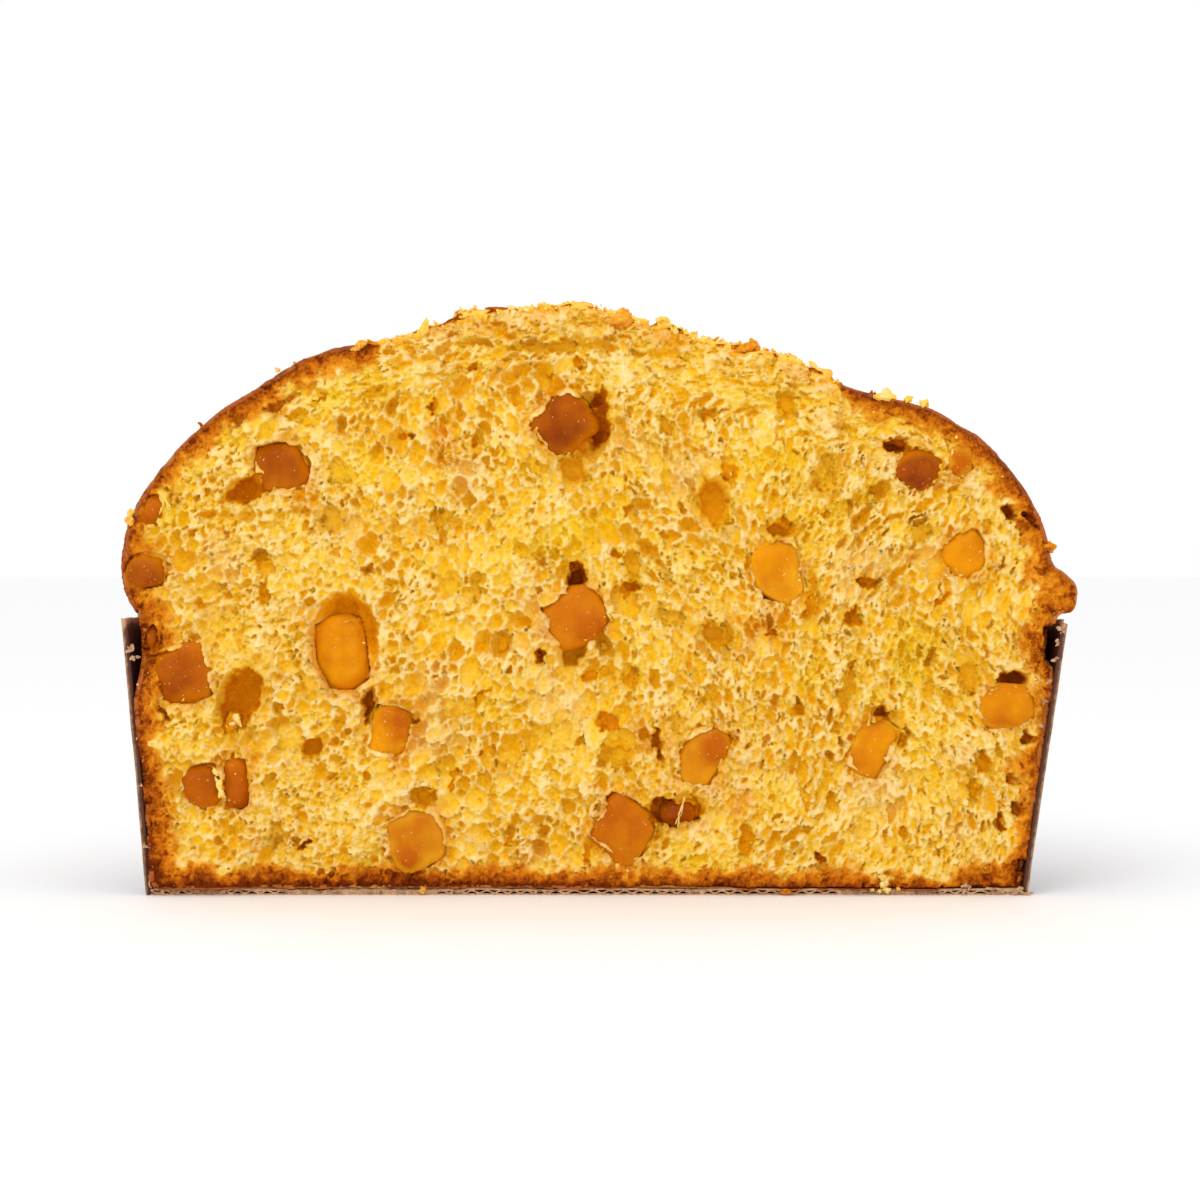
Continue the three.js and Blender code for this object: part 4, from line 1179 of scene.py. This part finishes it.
# Torn bits of the case's kraft, in millimetres and degrees: across from the axis, behind the cut,
# up, half the length and half the height, and the slope.
PAPER_SCRAPS = [
    (-107.6, -0.3, 58.6, 1.6, 0.5, -20), (-106.6, 0, 56.4, 1.1, 0.45, 35), (-106, 0, 49.6, 0.6, 0.35, 60),
    (112.6, 0.2, 62.8, 0.9, 0.6, -50), (111.6, 0.4, 59.6, 1.0, 0.5, 20), (111, 0.6, 55.8, 1.1, 0.5, 40),
    (109.4, 0, 50.6, 0.5, 0.5, 0), (108.6, 0, 46.2, 0.4, 0.6, 0), (107.6, 0, 40.2, 0.4, 0.5, 0),
    (-103.4, -0.2, 3.8, 0.8, 1.9, 15), (-101.6, -0.2, 1.4, 1.3, 0.5, -30), (-104.8, 0, 12, 0.4, 0.7, 0),
    (102.4, 0, 1.2, 2, 0.5, 10), (96.6, -0.2, 1.4, 2.4, 0.5, -6), (90, 0, 1.2, 1.6, 0.4, 0),
    (-97, 0, 0.8, 1.3, 0.4, 10), (-105.6, 0, 26, 0.35, 0.6, 0), (-106.4, 0, 37, 0.35, 0.5, 0),
]
# Each scrap is a few parts.
SCRAP_PARTS = 4


def scraps_of_paper():
    """Torn bits of kraft on the case's edges."""
    draw = np.random.default_rng(29)
    across, behind, up, long, high, slope = np.repeat(np.array(PAPER_SCRAPS), SCRAP_PARTS, axis=0).T
    centres = np.column_stack([across, behind, up]) + draw.normal(0, 0.45, (len(across), 3)) * long[:, None]
    centres[:, 1] = np.clip(centres[:, 1], -0.5, 0.4)
    centres[:, 2] = np.maximum(centres[:, 2], 0.5)
    centres = centres * MM + np.array([AXIS_X, CUT_Y, 0])
    halves = np.column_stack([0.55 * long, 0.12 * long, 0.8 * high])
    halves = halves * draw.uniform(0.6, 1.1, (len(across), 1)) * MM
    turns = upright_turns(slope + draw.normal(0, 40, len(across)))
    piece = bits("paper_scraps", centres, halves, turns, 0 * across, 69)
    for key, value in (("worn", 1.4), ("flute", 0.5), ("inner", 0)):
        layer = piece.data.attributes.new(key, "FLOAT", "POINT")
        layer.data.foreach_set("value", np.full(len(piece.data.vertices), value, np.float32))
    return piece


# Materials

def linear(red, green, blue):
    """A screen colour from 0 to 255 as the shader's linear one."""
    return tuple((v / 255) ** 2.2 for v in (red, green, blue)) + (1.0,)


class Shader:
    """A small helper to wire a material's nodes."""

    def __init__(self, name, roughness, **settings):
        self.material = bpy.data.materials.new(name)
        self.material.use_nodes = True
        self.tree = self.material.node_tree
        self.surface = self.tree.nodes["Principled BSDF"]
        self.surface.subsurface_method = "BURLEY"
        self.surface.inputs["Roughness"].default_value = roughness
        for key, value in settings.items():
            self.surface.inputs[key.replace("_", " ")].default_value = value

    def node(self, kind, inputs=None, **properties):
        """A new node with its inputs fed and its properties set."""
        made = self.tree.nodes.new(kind)
        for key, value in properties.items():
            setattr(made, key, value)
        for key, value in (inputs or {}).items():
            self.feed(made.inputs[key], value)
        return made

    def feed(self, socket, value):
        """Links a socket to another, or sets it to a number, or to a colour from 0 to 255."""
        if isinstance(value, bpy.types.NodeSocket):
            self.tree.links.new(value, socket)
        elif socket.type == "RGBA":
            socket.default_value = linear(*value)
        else:
            socket.default_value = value

    def attribute(self, name):
        """A value that the mesh holds for each point."""
        return self.node("ShaderNodeAttribute", attribute_name=name).outputs["Fac"]

    def place(self):
        """Where a point is in the object's own space."""
        return self.node("ShaderNodeTexCoord").outputs["Object"]

    def noise(self, scale, detail=4, roughness=0.6, place=None):
        """Cloudy noise from 0 to 1; scale is how often it changes in a metre."""
        inputs = {"Vector": place or self.place(), "Scale": scale, "Detail": detail, "Roughness": roughness}
        return self.node("ShaderNodeTexNoise", inputs).outputs["Fac"]

    def ramp(self, value, *stops):
        """Colours by a value; each stop is a value and its colour from 0 to 255."""
        made = self.node("ShaderNodeValToRGB", {"Fac": value})
        elements = made.color_ramp.elements
        while len(elements) < len(stops):
            elements.new(0.5)
        for element, (position, colour) in zip(elements, stops):
            element.position = position
            element.color = linear(*colour)
        return made.outputs["Color"]

    def math(self, operation, a, b):
        """A sum, difference or product of two values, by its operation's name."""
        return self.node("ShaderNodeMath", {0: a, 1: b}, operation=operation).outputs[0]

    def plus(self, a, b):
        return self.math("ADD", a, b)

    def times(self, a, b):
        return self.math("MULTIPLY", a, b)

    def grained(self, value, amount, scale, detail=4, roughness=0.6):
        """A value with an amount of noise round 0 added."""
        noise = self.noise(scale, detail, roughness)
        return self.plus(value, self.times(self.math("SUBTRACT", noise, 0.5), amount))

    def mix(self, share, a, b):
        """The colour a where the share is 0, and b where it is 1."""
        made = self.node("ShaderNodeMix", data_type="RGBA")
        for number, value in ((0, share), (6, a), (7, b)):
            self.feed(made.inputs[number], value)
        return made.outputs[2]

    def range(self, value, low, high, to_low=0.0, to_high=1.0):
        """A value from low to high turned softly into one from to_low to to_high."""
        inputs = {"Value": value, "From Min": low, "From Max": high, "To Min": to_low, "To Max": to_high}
        made = self.node("ShaderNodeMapRange", inputs, interpolation_type="SMOOTHSTEP")
        return made.outputs["Result"]

    def colour(self, value):
        self.feed(self.surface.inputs["Base Color"], value)

    def rough(self, value):
        self.feed(self.surface.inputs["Roughness"], value)

    def bump(self, height, strength, distance):
        """Fine unevenness of the surface; distance is in metres."""
        made = self.node("ShaderNodeBump", {"Height": height, "Strength": strength, "Distance": distance})
        self.feed(self.surface.inputs["Normal"], made.outputs["Normal"])


def crumb_material():
    """Walls painted pale as highlight, cells painted yellow as shade, amber stains, hollows painted amber
    as shade, and the browned edge.
    """
    shader = Shader("crumb", 0.75, Specular_IOR_Level=0.07)
    # The pit ramp paints highlight on the walls, pale, and shade in the cells, golden yellow.
    pit = shader.grained(shader.attribute("pit"), 0.34, 420)
    pit = shader.grained(pit, 0.6, 1500, 4, 0.75)
    pit = shader.grained(pit, 0.5, 95, 3)
    body = shader.ramp(pit, (0.0, (255, 226, 156)), (0.25, (255, 217, 118)), (0.5, (252, 206, 74)),
                       (0.8, (250, 197, 36)), (1.0, (246, 184, 16)))
    # Steep flanks in warm gold: painted shade.
    body = shader.mix(shader.times(shader.attribute("steep"), 0.6), body, (252, 190, 44))
    patch = shader.noise(48, 3, 0.55)
    body = shader.mix(shader.range(patch, 0.55, 0.72, 0.0, 0.5), body, (252, 208, 30))
    body = shader.mix(shader.range(patch, 0.45, 0.3, 0.0, 0.35), body, (248, 206, 132))
    stain = shader.times(shader.attribute("stain"), shader.range(shader.noise(210), 0.34, 0.66))
    body = shader.mix(shader.times(stain, 0.85), body, (238, 152, 24))
    # Deep hollows in orange: painted shade.
    crumb = shader.mix(shader.attribute("hollow"), body, (242, 162, 10))
    # Tone of the single hollows: partly amber crumb, partly painted shade.
    amber = shader.grained(shader.grained(shader.attribute("amber"), 0.5, 330), 0.2, 1300, 3, 0.7)
    tones = shader.ramp(amber, (0.0, (248, 206, 84)), (0.3, (246, 192, 42)), (0.5, (240, 168, 18)),
                        (0.75, (222, 134, 8)), (1.0, (172, 80, 6)))
    crumb = shader.mix(shader.range(shader.attribute("amber"), 0.02, 0.4), crumb, tones)
    baked = shader.grained(shader.attribute("baked"), 1.5, 520, 5, 0.7)
    crusty = shader.ramp(baked, (0.0, (248, 190, 66)), (0.3, (238, 154, 34)), (0.6, (208, 112, 20)),
                         (0.88, (140, 60, 12)), (1.0, (114, 47, 12)))
    shader.colour(shader.mix(shader.range(shader.attribute("baked"), -0.12, 0.32), crumb, crusty))
    shader.bump(shader.noise(1700, 4, 0.7), 0.9, 0.0004)
    return shader.material


def crust_material():
    """Blotched brown skin, paler low at the sides, and the torn top's yellow crumb."""
    shader = Shader("crust", 0.48, Specular_IOR_Level=0.25)
    tone = shader.grained(shader.grained(shader.noise(46, 6, 0.68), 0.4, 330), 0.25, 900, 4, 0.7)
    tone = shader.math("SUBTRACT", tone, shader.times(shader.attribute("fold"), 0.09))
    brown = shader.ramp(tone, (0.26, (88, 40, 16)), (0.42, (128, 62, 22)), (0.56, (164, 88, 32)),
                        (0.74, (198, 122, 50)))
    low_side = shader.ramp(tone, (0.28, (120, 60, 20)), (0.5, (186, 108, 40)), (0.72, (222, 156, 72)))
    skin = shader.mix(shader.attribute("high"), low_side, brown)
    skin = shader.mix(shader.times(shader.attribute("cut"), 0.8), skin, (170, 82, 16))
    crest = shader.grained(shader.range(shader.attribute("crest"), -0.9, 2.0), 0.6, 300)
    torn = shader.ramp(shader.grained(crest, 0.7, 1000, 4, 0.7), (0.0, (238, 164, 28)),
                       (0.35, (250, 198, 70)), (0.65, (250, 203, 84)), (0.88, (236, 156, 48)),
                       (1.0, (200, 110, 36)))
    bare = shader.grained(shader.attribute("torn"), 0.6, 420)
    skin = shader.mix(shader.range(bare, 0.1, 0.45), skin, (206, 116, 36))
    shader.colour(shader.mix(shader.range(bare, 0.4, 0.8), skin, torn))
    rough = shader.range(shader.noise(240), 0.3, 0.7, 0.32, 0.52)
    shader.rough(shader.plus(rough, shader.times(shader.attribute("torn"), 0.35)))
    shader.bump(shader.plus(shader.noise(900), shader.times(shader.noise(260, 5), 1.5)), 0.6, 0.0005)
    return shader.material


def fruit_material(name, rim, *stops):
    """Waxy flesh with pale specks, darker or lighter by the piece, and a paler tone at its rim, painted as
    light glowing through the edge.
    """
    shader = Shader(name, 0.3, Subsurface_Weight=0.6, Subsurface_Scale=1.0,
                    Subsurface_Radius=(2.4 * MM, 1.2 * MM, 0.2 * MM), Specular_IOR_Level=0.07)
    flesh = shader.ramp(shader.plus(shader.noise(75, 4, 0.6), shader.attribute("tone")), *stops)
    # Painted light: the rim is paler, as if lit through the thin edge.
    flesh = shader.mix(shader.times(shader.attribute("rim"), 0.7), flesh, rim)
    speck = shader.range(shader.noise(1700, 1, 0.3), 0.74, 0.78)
    shader.colour(shader.mix(shader.times(speck, 0.6), flesh, (250, 214, 150)))
    shader.rough(shader.range(shader.noise(420, 3), 0.35, 0.7, 0.24, 0.5))
    shader.bump(shader.noise(380, 4, 0.65), 0.35, 0.0004)
    return shader.material


def paper_material():
    """Dark brown paper with lighter ridges, and bare kraft where it is worn or cut."""
    shader = Shader("case_paper", 0.62, Specular_IOR_Level=0.35)
    fibre = shader.node("ShaderNodeMapping", {"Vector": shader.place(), "Scale": (1.0, 1.0, 0.22)})
    grain = shader.noise(1500, 4, 0.7, fibre.outputs["Vector"])
    tone = shader.plus(shader.noise(42), shader.times(shader.math("SUBTRACT", grain, 0.5), 0.5))
    paper = shader.ramp(tone, (0.25, (52, 29, 22)), (0.5, (72, 42, 31)), (0.75, (92, 56, 42)))
    paper = shader.mix(shader.range(shader.attribute("flute"), 0.75, 1.0, 0.0, 0.22), paper, (112, 72, 54))
    paper = shader.mix(shader.times(shader.attribute("inner"), 0.6), paper, (84, 44, 28))
    kraft = shader.ramp(grain, (0.3, (146, 100, 70)), (0.6, (206, 162, 122)))
    worn = shader.grained(shader.attribute("worn"), 0.6, 500, 3)
    shader.colour(shader.mix(shader.range(worn, 0.45, 0.9), paper, kraft))
    shader.bump(grain, 0.4, 0.0002)
    return shader.material


# Camera, lights and floor

# What the frame spans at the cut, the lens and its sensor in millimetres, and the angle from above.
PHOTO_WIDTH = 283.8 * MM
LENS = 90.0
SENSOR = 36.0
CAMERA_RISE = math.radians(1.5)
# Square lights: name, place from the middle of the cut's foot, size and power, in metres and watts.
LIGHTS = [("key", (-0.3, -0.7, 0.8), 0.5, 2.4), ("fill", (0.6, -0.8, 0.25), 0.8, 0.5)]
LIT_HEIGHT = 70 * MM
FLOOR_REACH = 4.0


def aimed(name, data, place, target):
    """An object of the scene that looks from its place at a target."""
    thing = bpy.data.objects.new(name, data)
    bpy.context.scene.collection.objects.link(thing)
    thing.location = place
    thing.rotation_euler = (Vector(target) - thing.location).to_track_quat("-Z", "Y").to_euler()
    return thing


def add_camera():
    """The camera of the photo, a little above the middle of the cut."""
    data = bpy.data.cameras.new("camera")
    data.lens = LENS
    data.sensor_width = SENSOR
    away = Vector((0, -math.cos(CAMERA_RISE), math.sin(CAMERA_RISE))) * (PHOTO_WIDTH * LENS / SENSOR)
    target = Vector((0.0, CUT_Y, LOAF_HIGH.z / 2))
    bpy.context.scene.camera = aimed("camera", data, target + away, target)


def add_studio():
    """Two soft lights, a white surround and a white floor."""
    for name, (x, y, z), size, power in LIGHTS:
        data = bpy.data.lights.new(name, "AREA")
        data.shape = "SQUARE"
        data.size = size
        data.energy = power
        aimed(name, data, (x, CUT_Y + y, z), (0, CUT_Y, LIT_HEIGHT))
    world = bpy.data.worlds.new("studio")
    world.use_nodes = True
    world.node_tree.nodes["Background"].inputs["Color"].default_value = (1, 1, 1, 1)
    world.node_tree.nodes["Background"].inputs["Strength"].default_value = 1.0
    bpy.context.scene.world = world
    corners = np.array([(-1, -1, 0), (1, -1, 0), (1, 1, 0), (-1, 1, 0)]) * FLOOR_REACH
    floor = mesh_object("floor", corners, np.array([[0, 1, 2, 3]]))
    shader = Shader("floor", 0.8)
    shader.colour((250, 250, 250))
    floor.data.materials.append(shader.material)
    bpy.context.scene.view_settings.view_transform = "Standard"


def dress(piece, material, slot, *nodes):
    """Gives a piece its material and its body, and hides the nodes that it stands for; the slot is not
    used.
    """
    piece.data.materials.clear()
    piece.data.materials.append(material)
    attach(piece, "root")
    if nodes:
        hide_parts(*nodes)


add_camera()
add_studio()

CRUMB = crumb_material()
for crumb_piece in crumb_pieces():
    dress(crumb_piece, CRUMB, "crumb", "loaf")

CRUST = crust_material()
CRUST_PIECES, SKIN_MAP = crust_pieces()
for crust_piece in CRUST_PIECES:
    dress(crust_piece, CRUST, "crumb", "loaf")
for loose_piece in (torn_flakes(SKIN_MAP), large_flakes(), loose_crumbs(SKIN_MAP), shreds()):
    dress(loose_piece, CRUMB, "crumb")

PAPER_LOOK = paper_material()
dress(case_wall(), PAPER_LOOK, "case_paper", "paper_case")
dress(case_base(), PAPER_LOOK, "case_paper", "paper_case")
dress(scraps_of_paper(), PAPER_LOOK, "case_paper")

# Each first colour is the rim's painted light, paler than the flesh.
FRUIT_LOOKS = {
    "fruit_light": fruit_material("fruit_light", (244, 178, 34), (0.3, (186, 92, 0)),
                                  (0.7, (236, 152, 4))),
    "fruit_dark": fruit_material("fruit_dark", (216, 128, 14), (0.3, (134, 56, 0)),
                                 (0.65, (188, 95, 2)), (1.0, (220, 138, 16))),
}
for fruit_number, fruit_node in enumerate(FRUIT_NODES, 1):
    fruit_slot = "fruit_light" if fruit_number in PALE_FRUIT else "fruit_dark"
    dress(fruit_piece(fruit_node, fruit_number), FRUIT_LOOKS[fruit_slot], fruit_slot, fruit_node)

bpy.context.view_layer.update()
